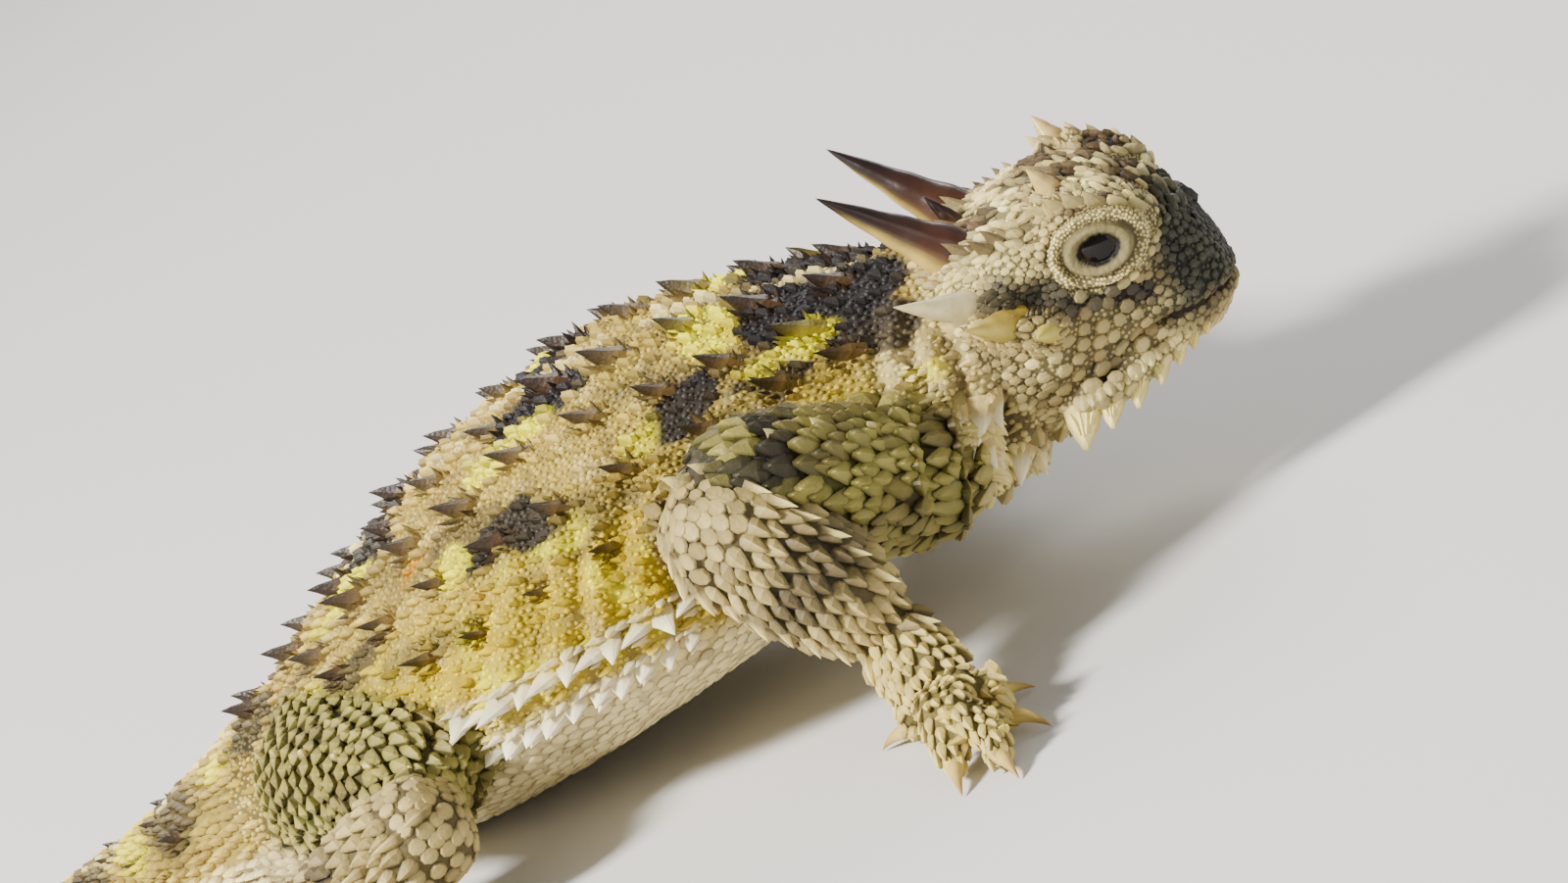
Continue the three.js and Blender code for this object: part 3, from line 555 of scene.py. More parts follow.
def body_tone(p):
    warp = np.stack([noise(p, 2.6, 11), noise(p, 2.6, 12)], 1)
    x, degrees = body_place(p)
    xw, dw = x + 1.1 * warp[:, 0], degrees + 5.0 * warp[:, 1]
    tone = blend(TAN, SHADE, smoothstep(-0.15, 0.7, noise(p, 3.4, 13)) * 0.6)
    tone = blend(tone, SHADE, smoothstep(0.1, 0.7, noise(p, 1.2, 17)) * 0.5)
    tone = blend(tone, CREAM, smoothstep(0.2, 0.8, noise(p, 1.5, 18)) * 0.3)
    low = smoothstep(42, 72, degrees) * smoothstep(-12, -2, x)
    tone = blend(tone, OCHRE, low * 0.7)
    tone = blend(tone, GREY_BEIGE, low * smoothstep(0.1, 0.6, noise(p, 1.6, 19)) * 0.6)
    tone = blend(tone, CREAM_YELLOW, low * smoothstep(0.3, 0.75, noise(p, 2.0, 16)) * 0.6)
    slant = flank_slant(p, degrees) + 0.5 * noise(p, 1.6, 20)
    streak = smoothstep(0.1, 0.9, np.sin(slant * 2.2 + 2.4)) * smoothstep(-0.5, 0.4, noise(p, 3.0, 25))
    tone = blend(tone, SHADE, streak * low * 0.7)
    for spot in BLOTCHES:
        tone = blend(tone, CHARCOAL, patch(xw, dw, spot, 0.13))
    for spot in LIGHT_PATCHES:
        tone = blend(tone, CREAM_YELLOW, patch(xw, dw, spot, 0.3))
    tone = blend(tone, ORANGE, patch(xw, dw, (8.5, 37.5, 0.8, 2.0, 0.6), 0.6))
    stripe = smoothstep(3.4, 1.6, dw) * smoothstep(46, 42, x)
    tone = blend(tone, CREAM, 0.75 * stripe)
    neck = smoothstep(41.5, 45, x) * smoothstep(30, 48, degrees)
    fold = neck_fold(p)
    neck = neck * (1 - patch(xw, dw, (44.4, 41, 3.5, 12, 0.9), 0.13))
    tone = blend(tone, GREY_BEIGE, neck * 0.8)
    tone = blend(tone, CREAM, neck * smoothstep(-0.3, 0.4, noise(p, 1.5, 28)) * 0.65)
    # Painted shade in the creases between the neck's folds.
    tone = blend(tone, UMBER, neck * smoothstep(-0.2, -0.95, fold) * 0.6)
    yellow = neck * smoothstep(0.25, 0.8, noise(p, 2.2, 14)) * 0.7 * smoothstep(49, 47, x)
    tone = blend(tone, CREAM_YELLOW, yellow)
    under = smoothstep(-8, 12, degrees - belly_edge(x))
    tone = blend(tone, BELLY, under)
    return blend(tone, SHADE, under * smoothstep(0.35, 0.75, noise(p, 2.8, 15)) * 0.6)


def head_tone(p):
    a = folded(p)
    tone = blend(GREY_BEIGE, CREAM, smoothstep(-0.2, 0.5, noise(p, 1.7, 21)) * 0.75)
    temple = smoothstep(57.5, 54.5, a[:, 0]) * smoothstep(18.5, 21, a[:, 2])
    tone = blend(tone, CREAM, 0.6 * temple)
    cheek = smoothstep(19.5, 17.5, a[:, 2]) * smoothstep(0.0, 0.5, noise(p, 2.4, 26))
    tone = blend(tone, SHADE, 0.6 * cheek)
    # The snout: its own slate grey, darkened further as painted shade.
    snout = smoothstep(60.8, 64.4, a[:, 0] + 0.4 * noise(p, 2, 27)) * smoothstep(12.5, 15.5, a[:, 2])
    tone = blend(tone, SLATE_AND_PAINTED_SHADE, 0.94 * snout)
    crown = smoothstep(23.4, 24.6, crown_height(a)) * smoothstep(66, 62, a[:, 0])
    tone = blend(tone, UMBER, 0.85 * crown * smoothstep(-0.35, 0.1, noise(p, 2.1, 22)))
    tone = blend(tone, CREAM, 0.75 * crown * smoothstep(0.05, 0.35, noise(p, 1.6, 23)))
    # The dark streak from the lip, under the eye, to above the temporal horns.
    start = np.array((61.4, 7.5, 17.0))
    run = np.array((52.8, 10.6, 21.4)) - start
    t = np.clip(((a - start) @ run) / (run @ run), 0, 1)
    off = np.linalg.norm((a - start - t[:, None] * run) * (1, 0.4, 1), axis=1) + 0.5 * noise(p, 1.1, 24)
    streak = smoothstep(1.0, 0.3, off / (1.2 + 1.1 * t)) * (a[:, 1] > 5)
    tone = blend(tone, CHARCOAL, 0.92 * streak)
    q, d = eye_place(p)
    lid = (np.linalg.norm(q, axis=1) < LID_REACH) * smoothstep(3.1, 2.5, d) * (a[:, 2] < LID_TOP)
    tone = blend(tone, CREAM, 0.75 * lid)
    # Painted shade in the creases between the folds round the lid opening.
    tone = blend(tone, UMBER, 0.65 * lid * smoothstep(0.0, -0.9, lid_wave(d)) * (d > 1.2))
    # Painted shade: black at the rim of the lid opening and in the pit under it.
    tone = blend(tone, CHARCOAL, smoothstep(1.1, 1.0, d) * (q[:, 1] > 0) * (lid > 0))
    # Painted shade along the groove of the mouth line.
    tone = blend(tone, UMBER, 0.85 * smoothstep(0.6, 0.2, mouth_gap(a, a[:, 0] > 53)))
    jaw = smoothstep(12.8, 11.4, a[:, 2])
    return blend(tone, CREAM, 0.4 * jaw)


# Radius of a limb at shares t of its length in points.
def radius_along(stations, t):
    return np.interp(t, np.linspace(0, 1, len(stations)), stations[:, 3])


# Rods through the limbs and digits: their points, tangents, radii, kind, and place along the limb.
def limb_rods():
    rods = []
    for word, side in SIDES:
        for k, name in enumerate(LIMB_PARTS):
            rods.append((k, limb_stations(name, word, side), 30))
        for paw, plan in PAWS.items():
            rods.append((4, mirrored(plan["palm"], side), 16))
            for i in range(len(plan["digits"])):
                rods.append((5, digit_stations(paw, i, side), 20))
    spots, ways, radii, kinds, places = [], [], [], [], []
    for kind, stations, count in rods:
        t = np.linspace(0.02, 0.98, count)
        spot, way = curve(stations[:, :3], t)
        spots.append(spot)
        ways.append(way)
        radii.append(radius_along(stations, t))
        kinds.append(np.full(count, kind))
        places.append(t)
    return [np.concatenate(v) for v in (spots, ways, radii, kinds, places)]


RODS = limb_rods()
UPPER_ARM, FOREARM, THIGH, SHIN, PALM, DIGIT = range(6)


AT_ONCE = 20000


# For each point: nearness to its limb rod in rod radii, the rod's tangent, kind and place.
def limb_place(p):
    spots, ways, radii, kinds, places = RODS
    best = np.empty(len(p), int)
    near = np.empty(len(p))
    for i in range(0, len(p), AT_ONCE):
        d = np.linalg.norm(p[i:i + AT_ONCE, None] - spots[None], axis=-1) / radii[None]
        best[i:i + AT_ONCE] = d.argmin(1)
        near[i:i + AT_ONCE] = d.min(1)
    return near, ways[best], kinds[best], places[best]


def is_upper(kinds):
    return (kinds == UPPER_ARM) | (kinds == THIGH)


def limb_tone(p, kinds, places):
    tone = np.where(is_upper(kinds)[:, None], OLIVE, LIMB_BEIGE)
    tone = blend(tone, DIGIT_CREAM, (kinds == PALM) * 0.75 + (kinds == DIGIT) * 0.9)
    tone = blend(tone, SHADE, smoothstep(0.05, 0.7, noise(p, 3.0, 31)) * 0.6 * (kinds < PALM))
    bar = smoothstep(0.16, 0.06, np.abs(places - 0.62) + 0.06 * noise(p, 2.0, 32))
    barred = ((kinds == FOREARM) | (kinds == SHIN)) * (noise(p, 3.2, 33) > -0.2)
    tone = blend(tone, CHARCOAL, 0.6 * bar * barred)
    top = smoothstep(0.5, 0.72, places) * (kinds == UPPER_ARM) * smoothstep(18.0, 19.2, p[:, 2])
    return blend(tone, CHARCOAL, 0.88 * top * smoothstep(-0.45, 0.05, noise(p, 2.4, 34)))


# How far a place on a limb is past the root of the limb in the body: 0 at the root, 1 beyond it.
def past_root(kinds, places):
    return np.where(is_upper(kinds), smoothstep(0.04, 0.18, places), 1.0)


# The markings of skin and scales alike: a colour for each point.
def tone_of(p):
    near, _, kinds, places = limb_place(p)
    limb = smoothstep(1.28, 1.1, near) * (p[:, 0] < 49) * past_root(kinds, places)
    head = head_share(p)
    tone = body_tone(p) * (1 - head[:, None]) + head_tone(p) * head[:, None]
    return tone * (1 - limb[:, None]) + limb_tone(p, kinds, places) * limb[:, None]


# Where a point lies on a flat unwrap of the skin: a strip for the body and smaller ones for the limbs.
def unwrap(p):
    x, degrees = body_place(p)
    near, _, kinds, places = limb_place(p)
    side = np.where(p[:, 1] < 0, -1.0, 1.0)
    body = np.stack([(x + 55) / 130, 0.3 + side * degrees / 180 * 0.28], 1)
    around = np.arctan2(p[:, 2] - 8, np.abs(p[:, 1]) - 22) / (2 * math.pi) + 0.5
    cell = np.stack([(kinds + (side > 0) * 6 + np.clip(places, 0, 1) * 0.9) / 12, 0.62 + 0.36 * around], 1)
    limb = (near < 1.2) & (p[:, 0] < 49)
    return np.clip(np.where(limb[:, None], cell, body), 0.004, 0.996)


def set_tone(obj, tone):
    grey = tone @ np.array((0.3, 0.6, 0.1))
    tone = grey[:, None] + (tone - grey[:, None]) * RICHNESS
    layer = obj.data.color_attributes.new("Tone", "FLOAT_COLOR", "POINT")
    rgba = np.ones((len(tone), 4), np.float32)
    rgba[:, :3] = np.clip(tone, 0, 1)
    layer.data.foreach_set("color", rgba.ravel())


# A small form to be set many times: points (x toward the tip, y across, z out of the skin), faces, and how
# far each point is from the root or rim (0) to the tip (1). A scale has a sunk rim, a bevel and a keel.
def scale_form(corners, point, keel, lift, sunk=0.45, width=0.8, bevel=0.3):
    angle = turns(corners, 0.5)
    c, s = np.cos(angle), np.sin(angle)
    x = np.where(c > 0, c * (1 + point), c)
    y = s * width * (1 - 0.75 * min(point, 1) * np.maximum(c, 0))
    share = (x + 1) / (2 + point)
    rim = np.column_stack([x, y, lift * share])
    foot = np.column_stack([x * 0.88, y * 0.88, np.full(corners, -sunk)])
    inner = np.column_stack([x * 0.84, y * 0.76, lift * share + bevel])
    ridge = np.array([(-0.5, 0, lift * 0.2 + bevel + keel * 0.5), (0.2, 0, lift * 0.6 + bevel + keel),
                      (0.72 * (1 + point), 0, lift * 0.9 + bevel + keel * 0.7)])
    points = np.concatenate([foot, rim, inner, ridge])
    near = 3 * corners + np.where(c < -0.45, 0, np.where(c < 0.5, 1, 2))
    faces = []
    for i in range(corners):
        j = (i + 1) % corners
        for row in (0, corners):
            a, b = row, row + corners
            faces += [(a + i, a + j, b + j), (a + i, b + j, b + i)]
        a, b = 2 * corners + i, 2 * corners + j
        faces.append((a, b, near[j]))
        if near[i] != near[j]:
            faces.append((a, near[j], near[i]))
    tip = np.concatenate([np.zeros(corners), 0.12 + 0.2 * share, 0.5 + 0.4 * share, (0.75, 0.9, 1.0)])
    return points, np.array(faces), tip


def dome_form(corners, height, sunk=0.4, flat=0.62):
    angle = turns(corners)
    ring = np.stack([np.cos(angle), np.sin(angle)], 1)
    points = np.concatenate([
        np.column_stack([ring, np.full(corners, -sunk)]),
        np.column_stack([ring * flat, np.full(corners, height * 0.8)]),
        [(0.0, 0.0, height)],
    ])
    faces = []
    for i in range(corners):
        j = (i + 1) % corners
        faces += [(i, j, corners + j), (i, corners + j, corners + i), (corners + i, corners + j, 2 * corners)]
    tip = np.clip(points[:, 2] / height, 0, 1)
    return points, np.array(faces), tip


# Rings of a spine from its root to near its tip: shift along the bend, radius and height.
SPINE_ROWS = ((0.0, 1.3, -0.5), (0.0, 1.0, 0.0), (0.12, 0.62, 0.3), (0.4, 0.3, 0.68))


def spine_form(corners=7, bend=0.35):
    angle = turns(corners)
    keel = 1 + 0.18 * np.cos(2 * angle)
    c, s = np.cos(angle), np.sin(angle)
    rings = [np.column_stack([x * bend + r * keel * c, r * keel * s, np.full(corners, z)])
             for x, r, z in SPINE_ROWS]
    points = np.concatenate(rings + [np.array([[bend, 0, 1.0]])])
    faces = []
    for row in range(len(SPINE_ROWS) - 1):
        for i in range(corners):
            j = (i + 1) % corners
            a, b = row * corners, (row + 1) * corners
            faces += [(a + i, a + j, b + j), (a + i, b + j, b + i)]
    last = (len(SPINE_ROWS) - 1) * corners
    faces += [(last + i, last + (i + 1) % corners, len(points) - 1) for i in range(corners)]
    return points, np.array(faces), np.clip(points[:, 2], 0, 1)


# Extent of one stamped form on the flat unwrap.
UV_PATCH = 0.003


# The same form set at many places: p roots, n outward, way toward the tip, size along, across and out. The
# way and the two tints are given once for all places, or for each. Callers pass a darkened copy of the tone
# as the root tint, painted shade where the form meets the skin, and often a lit copy as the tip tint, painted
# highlight on its top.
def stamp(form, p, n, way, size, tint, tip_tint, tilt=0.0, curve_power=1.5):
    points, faces, tip = form
    way = way - n * (way * n).sum(1, keepdims=True)
    way /= np.maximum(np.linalg.norm(way, axis=1, keepdims=True), 1e-6)
    tilt = np.broadcast_to(tilt, len(p))[:, None]
    ahead = way * np.cos(tilt) + n * np.sin(tilt)
    out = n * np.cos(tilt) - way * np.sin(tilt)
    across = np.cross(out, ahead)
    local = points[None] * size[:, None, :]
    made = (p[:, None] + local[..., :1] * ahead[:, None] + local[..., 1:2] * across[:, None]
            + local[..., 2:] * out[:, None])
    share = (tip ** curve_power)[None, :, None]
    tint, tip_tint = np.broadcast_to(tint, p.shape), np.broadcast_to(tip_tint, p.shape)
    tone = tint[:, None] * (1 - share) + tip_tint[:, None] * share
    extent = max(np.ptp(points[:, 0]), np.ptp(points[:, 1]))
    flat = unwrap(p)[:, None] + points[None, :, :2] / extent * UV_PATCH
    return made, faces, tone, flat


# Coat pieces: stamped forms joined into meshes of fewer than the allowed triangles each.
PIECE_TRIANGLES = 180000


def coat(name, stamped, nodes, material, smooth=True):
    chunks, current, weight = [], [], 0
    for made, faces, tone, flat in stamped:
        step = max(1, (PIECE_TRIANGLES - 1) // len(faces))
        for i in range(0, len(made), step):
            part = (made[i:i + step], faces, tone[i:i + step], flat[i:i + step])
            cost = len(part[0]) * len(faces)
            if current and weight + cost > PIECE_TRIANGLES:
                chunks.append(current)
                current, weight = [], 0
            current.append(part)
            weight += cost
    chunks.append(current)
    for k, chunk in enumerate(chunks):
        points, tris, tones, flats, start = [], [], [], [], 0
        for made, faces, tone, flat in chunk:
            count, each = made.shape[:2]
            points.append(made.reshape(-1, 3))
            tones.append(tone.reshape(-1, 3))
            flats.append(flat.reshape(-1, 2))
            tris.append((faces[None] + (np.arange(count) * each)[:, None, None] + start).reshape(-1, 3))
            start += count * each
        points, tris = np.concatenate(points), np.concatenate(tris)
        points[:, 2] = np.maximum(points[:, 2], 0.0)
        obj = mesh_object(f"{name}_{k + 1}" if len(chunks) > 1 else name, points, tris, smooth)
        set_tone(obj, np.concatenate(tones))
        layer = obj.data.uv_layers.new(name="OFBake")
        corner = np.empty(len(obj.data.loops), int)
        obj.data.loops.foreach_get("vertex_index", corner)
        layer.data.foreach_set("uv", np.concatenate(flats)[corner].ravel())
        obj.data.materials.append(material)
        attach(obj, "root")
        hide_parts(*nodes)


def tree_of(points):
    tree = KDTree(len(points))
    for i, p in enumerate(points):
        tree.insert(p, i)
    tree.balance()
    return tree


# Which points stay when each one kept clears those within its reach: the later ones, or all the others.
def thinned(p, reach, later_only=True):
    tree = tree_of(p)
    alive = np.ones(len(p), bool)
    for i in range(len(p)):
        if alive[i]:
            for _, j, _ in tree.find_range(p[i], reach[i]):
                if j > i or (j < i and not later_only):
                    alive[j] = False
    return alive


# The skin as a ground for scales.
class Ground:
    def __init__(self, obj):
        mesh = obj.data
        mesh.calc_loop_triangles()
        tris = np.empty(len(mesh.loop_triangles) * 3, int)
        mesh.loop_triangles.foreach_get("vertices", tris)
        self.tris = tris.reshape(-1, 3)
        self.points, self.normals = read_mesh(mesh)
        a, b, c = (self.points[self.tris[:, k]] for k in range(3))
        self.centres = (a + b + c) / 3
        self.area = np.linalg.norm(np.cross(b - a, c - a), axis=1) / 2
        self.tree = tree_of(self.points)

    # Places spread where the weight is, no two nearer than the spacing, with normals and spacings there.
    def over(self, weight, spacing, tries=5.0):
        if not callable(spacing):
            gap = spacing
            spacing = lambda q: np.full(len(q), gap)
        density = self.area * weight / spacing(self.centres) ** 2
        count = int(tries * density.sum())
        pick = rng.choice(len(density), count, p=density / density.sum())
        u, v = rng.random(count), rng.random(count)
        flip = u + v > 1
        u[flip], v[flip] = 1 - u[flip], 1 - v[flip]
        w = np.stack([1 - u - v, u, v], 1)[..., None]
        p = (self.points[self.tris[pick]] * w).sum(1)
        n = (self.normals[self.tris[pick]] * w).sum(1)
        n /= np.linalg.norm(n, axis=1, keepdims=True)
        reach = spacing(p)
        alive = thinned(p, reach)
        return p[alive], n[alive], reach[alive]

    # Given points laid onto the skin, with its normals there.
    def onto(self, p):
        for _ in range(2):
            index = np.array([self.tree.find(q)[1] for q in p])
            n = self.normals[index]
            p = p - n * ((p - self.points[index]) * n).sum(1, keepdims=True)
        return p, n


# A new material, with its shader, its nodes and its links.
def new_material(name, roughness):
    material = bpy.data.materials.new(name)
    material.use_nodes = True
    nodes = material.node_tree.nodes
    shader = nodes["Principled BSDF"]
    shader.inputs["Roughness"].default_value = roughness
    return material, shader, nodes, material.node_tree.links


# A new node, with values for its inputs by name.
def new_node(nodes, kind, **values):
    made = nodes.new(kind)
    for name, value in values.items():
        made.inputs[name.replace("_", " ")].default_value = value
    return made


def tone_node(nodes):
    tone = nodes.new("ShaderNodeVertexColor")
    tone.layer_name = "Tone"
    return tone


GRAIN_SCALE = 900
BUMP_STRENGTH = 0.7


# The finish of a coat: the painted tone with fine speckles, over a bump of small cells.
def node_material(name, roughness, bump_scale, bump_depth, speckle, coat_weight=0.0):
    material, shader, nodes, links = new_material(name, roughness)
    shader.inputs["Specular IOR Level"].default_value = 0.35
    shader.inputs["Coat Weight"].default_value = coat_weight
    shader.inputs["Coat Roughness"].default_value = 0.25
    place = nodes.new("ShaderNodeTexCoord")
    grain = new_node(nodes, "ShaderNodeTexNoise", Scale=GRAIN_SCALE, Detail=5)
    links.new(place.outputs["Object"], grain.inputs["Vector"])
    ramp = new_node(nodes, "ShaderNodeMapRange", From_Min=0.3, From_Max=0.7,
                    To_Min=1 - speckle, To_Max=1 + speckle)
    links.new(grain.outputs["Fac"], ramp.inputs["Value"])
    mix = nodes.new("ShaderNodeVectorMath")
    mix.operation = "SCALE"
    links.new(tone_node(nodes).outputs["Color"], mix.inputs[0])
    links.new(ramp.outputs["Result"], mix.inputs["Scale"])
    links.new(mix.outputs["Vector"], shader.inputs["Base Color"])
    cells = new_node(nodes, "ShaderNodeTexVoronoi", Scale=bump_scale)
    links.new(place.outputs["Object"], cells.inputs["Vector"])
    bump = new_node(nodes, "ShaderNodeBump", Strength=BUMP_STRENGTH, Distance=bump_depth)
    bump.invert = True
    links.new(cells.outputs["Distance"], bump.inputs["Height"])
    links.new(bump.outputs["Normal"], shader.inputs["Normal"])
    return material


SKIN_FINISH = node_material("SkinFinish", 0.72, 2600, 0.00012, 0.16)
SCALE_FINISH = node_material("ScaleFinish", 0.58, 4200, 0.00003, 0.14)
SPINE_FINISH = node_material("SpineFinish", 0.45, 3600, 0.00004, 0.2)
HORN_FINISH = node_material("HornFinish", 0.34, 1500, 0.00003, 0.16, 0.25)
CLAW_FINISH = node_material("ClawFinish", 0.4, 2400, 0.00002, 0.1, 0.15)


def jitter(count, amount):
    return 1 + amount * (rng.random(count) * 2 - 1)


def sizes(reach, long, wide, high, vary=0.12):
    r = reach * jitter(len(reach), vary)
    return np.stack([r * long, r * wide, r * high], 1)


def sized(*columns):
    count = max(np.size(c) for c in columns)
    return np.stack([np.broadcast_to(c, count) for c in columns], 1).astype(float)


def unit(v):
    return v / np.maximum(np.linalg.norm(v, axis=1, keepdims=True), 1e-9)


def lit(tone, gain):
    return np.clip(tone * np.asarray(gain).reshape(-1, 1), 0, 1)


# Painted shade on the skin seen between scales: its brightness, and how much more of it is taken where head
# and limb scales cover it, so that the gaps between scales read dark.
SKIN_GAP_SHADE_GAIN = 0.7
COVERED_GAP_SHADE = 0.45

skin = make_skin()
skin_points, _ = read_mesh(skin.data)
scaled = np.maximum(head_share(skin_points), smoothstep(1.3, 1.1, limb_place(skin_points)[0]))
# The skin's tone is darkened as painted shade in the gaps between scales, most under head and limb scales.
set_tone(skin, lit(tone_of(skin_points), SKIN_GAP_SHADE_GAIN - COVERED_GAP_SHADE * scaled))
skin.data.materials.append(SKIN_FINISH)
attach(skin, "root")
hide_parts(*FLESH, *LIMB_NODES)

# Where the triangles of the skin lie: on limbs, head, tail, belly or back.
ground = Ground(skin)
near_c, _, kind_c, place_c = limb_place(ground.centres)
x_c, degrees_c = body_place(ground.centres)
head_c = head_share(ground.centres) > 0.5
limb_c = (near_c < 1.12) & ~head_c & (ground.centres[:, 0] < 47) & (past_root(kind_c, place_c) > 0.5)
tail_c = (x_c < -13) & ~limb_c & ~head_c
under_c = (degrees_c > belly_edge(x_c)) & ~limb_c & ~head_c & ~tail_c
back_c = ~(limb_c | head_c | tail_c | under_c)
BACKWARD = np.array((-1.0, 0.0, 0.0))


# A form scattered where the weight is. The shape is its size along, across and out of the skin, in spacings
# or in the given unit, and how much it varies; tints are the tint's spread and its gains at root and tip: the
# root gain darkens the foot of each form as painted shade, and a tip gain above 1 lightens its top as painted
# highlight.
def scattered(form, weight, spacing, tries, shape, tints, tilt=0.0, curve_power=1.5, stray=0.0,
              unit_size=None, gain=1.0):
    p, n, r = ground.over(weight, spacing, tries)
    vary, root, tip = tints
    tint = lit(tone_of(p), jitter(len(p), vary) * gain)
    way = BACKWARD + rng.uniform(-stray, stray, (len(p), 3)) if stray else BACKWARD
    r = np.full(len(p), unit_size) if unit_size else r
    return stamp(form, p, n, way, sizes(r, *shape), tint * root, lit(tint, tip), tilt, curve_power)


# Granules over the back and neck, each darkened at its foot as painted shade and lightened at its top as
# painted highlight.
def granules():
    return scattered(dome_form(5, 1.0), back_c, lambda q: np.where(body_place(q)[0] > 42, 0.5, 0.42), 5,
                     (0.64, 0.56, 0.34, 0.3), (0.22, 0.5, 1.12), curve_power=1)


# Larger keeled scales scattered among the granules, darkened at their feet as painted shade and lightened at
# their tops as painted highlight.
def tubercles():
    return scattered(scale_form(6, 0.8, 0.5, 1.0), back_c, lambda q: 1.1 + 0.4 * noise(q, 5, 41), 5,
                     (1.2, 0.9, 0.9, 0.4), (0.3, 0.6, 1.25), 0.2, unit_size=0.38)


# Belly scales, darkened at their rims as painted shade and a little lightened at their tops as painted
# highlight.
def belly_scales():
    return scattered(scale_form(8, 0.3, 0.25, 0.5), under_c & (ground.centres[:, 2] > 0.2), 0.85, 8,
                     (0.62, 0.78, 0.2), (0.06, 0.7, 1.05))


def tail_spacing(q):
    return np.clip(0.4 + 0.05 * along(TRUNK, HALF, q[:, 0]), 0.42, 0.8)


# Tail scales, darkened at their rims as painted shade and lightened at their tops as painted highlight.
def tail_scales():
    return scattered(scale_form(8, 0.7, 0.5, 0.8), tail_c, tail_spacing, 8,
                     (0.72, 0.7, 0.5), (0.15, 0.6, 1.2), 0.12)


# Spacing of the scales along and round each kind of limb.
LIMB_STEPS = {UPPER_ARM: (1.75, 1.65), FOREARM: (1.3, 1.2), THIGH: (1.35, 1.3), SHIN: (1.2, 1.15),
              PALM: (1.0, 0.95), DIGIT: (0.95, 0.8)}


# Rows of scales round each limb and digit: places, normals, ways down the limb, kinds, shares and steps.
def limb_lattice():
    rods = [(kind, limb_stations(name, word, side), 1.0)
            for kind, name in enumerate(LIMB_PARTS) for word, side in SIDES]
    for _, side in SIDES:
        for paw, plan in PAWS.items():
            rods.append((PALM, mirrored(plan["palm"], side), 0.8))
            rods += [(DIGIT, digit_stations(paw, i, side), 1.0) for i in range(len(plan["digits"]))]
    found = []
    for kind, stations, flat in rods:
        step, wide = LIMB_STEPS[kind]
        length = np.linalg.norm(np.diff(stations[:, :3], axis=0), axis=1).sum()
        count = max(3, int(length / step))
        t = (np.arange(count) + 0.5) / count
        centre, way = curve(stations[:, :3], t)
        radius = radius_along(stations, t)
        for k in range(count):
            around = max(6, int(round(2 * math.pi * radius[k] / wide)))
            order = np.arange(around) + 0.5 * (k % 2) + 0.12 * rng.standard_normal(around)
            out = circle(way[k], order / around * 2 * math.pi)
            drift = way[k] * 0.12 * step * rng.standard_normal((around, 1))
            q = centre[k] + out * radius[k] * (1, 1, flat) + drift
            found.append((q, np.tile(way[k], (around, 1)), np.full(around, kind), np.full(around, t[k])))
    q, way, kinds, places = (np.concatenate(v) for v in zip(*found))
    p, n = ground.onto(q)
    near, _, nearest, _ = limb_place(p)
    fits = (np.linalg.norm(p - q, axis=1) < 1.2) & (nearest == kinds) & (near < 1.2) & (p[:, 2] > 0.25)
    fits &= (head_share(p) < 0.5) & (past_root(kinds, places) > 0.5)
    p, n, way, kinds, places = (v[fits] for v in (p, n, way, kinds, places))
    step = np.array([LIMB_STEPS[k] for k in kinds])
    alive = thinned(p, 0.62 * step[:, 1], later_only=False)
    found = [v[alive] for v in (p, n, way, kinds, places, step)]

    # Gaps where two limbs meet are filled with scattered scales.
    tree = tree_of(found[0])
    p, n, _ = ground.over(limb_c & (ground.centres[:, 2] > 0.25), 0.7, 10)
    free = np.array([tree.find(v)[2] for v in p]) > 0.85
    _, way, kinds, places = limb_place(p)
    step = np.array([LIMB_STEPS[k] for k in kinds]) * 0.8
    return [np.concatenate([v, extra[free]]) for v, extra in zip(found, (p, n, way, kinds, places, step))]


# Keeled scales in overlapping rows down the limbs, and rounded flat ones at the elbows and knees. Each is
# darkened hard at its rim and root as painted shade, and paler, partly cream, toward its keel and tip.
def limb_scales():
    p, n, way, kinds, places, step = limb_lattice()
    tint = lit(tone_of(p), jitter(len(p), 0.2))
    light = smoothstep(0.02, 0.3, tint.mean(1))
    pale = lit(blend(tint, CREAM, 0.25 * light), 1.02)
    joint = np.where(is_upper(kinds), places > 0.93, (kinds <= SHIN) & (places < 0.34))
    size = sized(step[:, 0] * 0.58, step[:, 1] * 0.72, 0.4) * jitter(len(p), 0.08)[:, None]
    size[joint] *= (0.96, 0.86, 0.7)
    size[kinds == DIGIT] *= (1.0, 0.9, 0.55)
    size[kinds == PALM] *= (1.0, 0.95, 0.75)
    keeled = scale_form(10, 0.8, 0.7, 0.9)
    flat = scale_form(9, 0.08, 0.12, 0.15, width=0.92, bevel=0.6)
    out = []
    for form, pick, tilt in ((keeled, ~joint, 0.13), (flat, joint, 0.0)):
        out.append(stamp(form, p[pick], n[pick], way[pick], size[pick], tint[pick] * 0.22, pale[pick],
                         tilt, 0.9))
    return out


# Ways out from each limb toward its edges of pointed scales, and how many stand there.
LIMB_EDGES = {"upper_arm": [((-0.1, 0.6, 0.8), 7)], "forearm": [((1, 0.5, 0.2), 8), ((-0.7, 0.7, -0.3), 9)],
              "thigh": [((-0.6, 0.3, 0.7), 6)], "shin": [((0, 1, 0.5), 6)]}


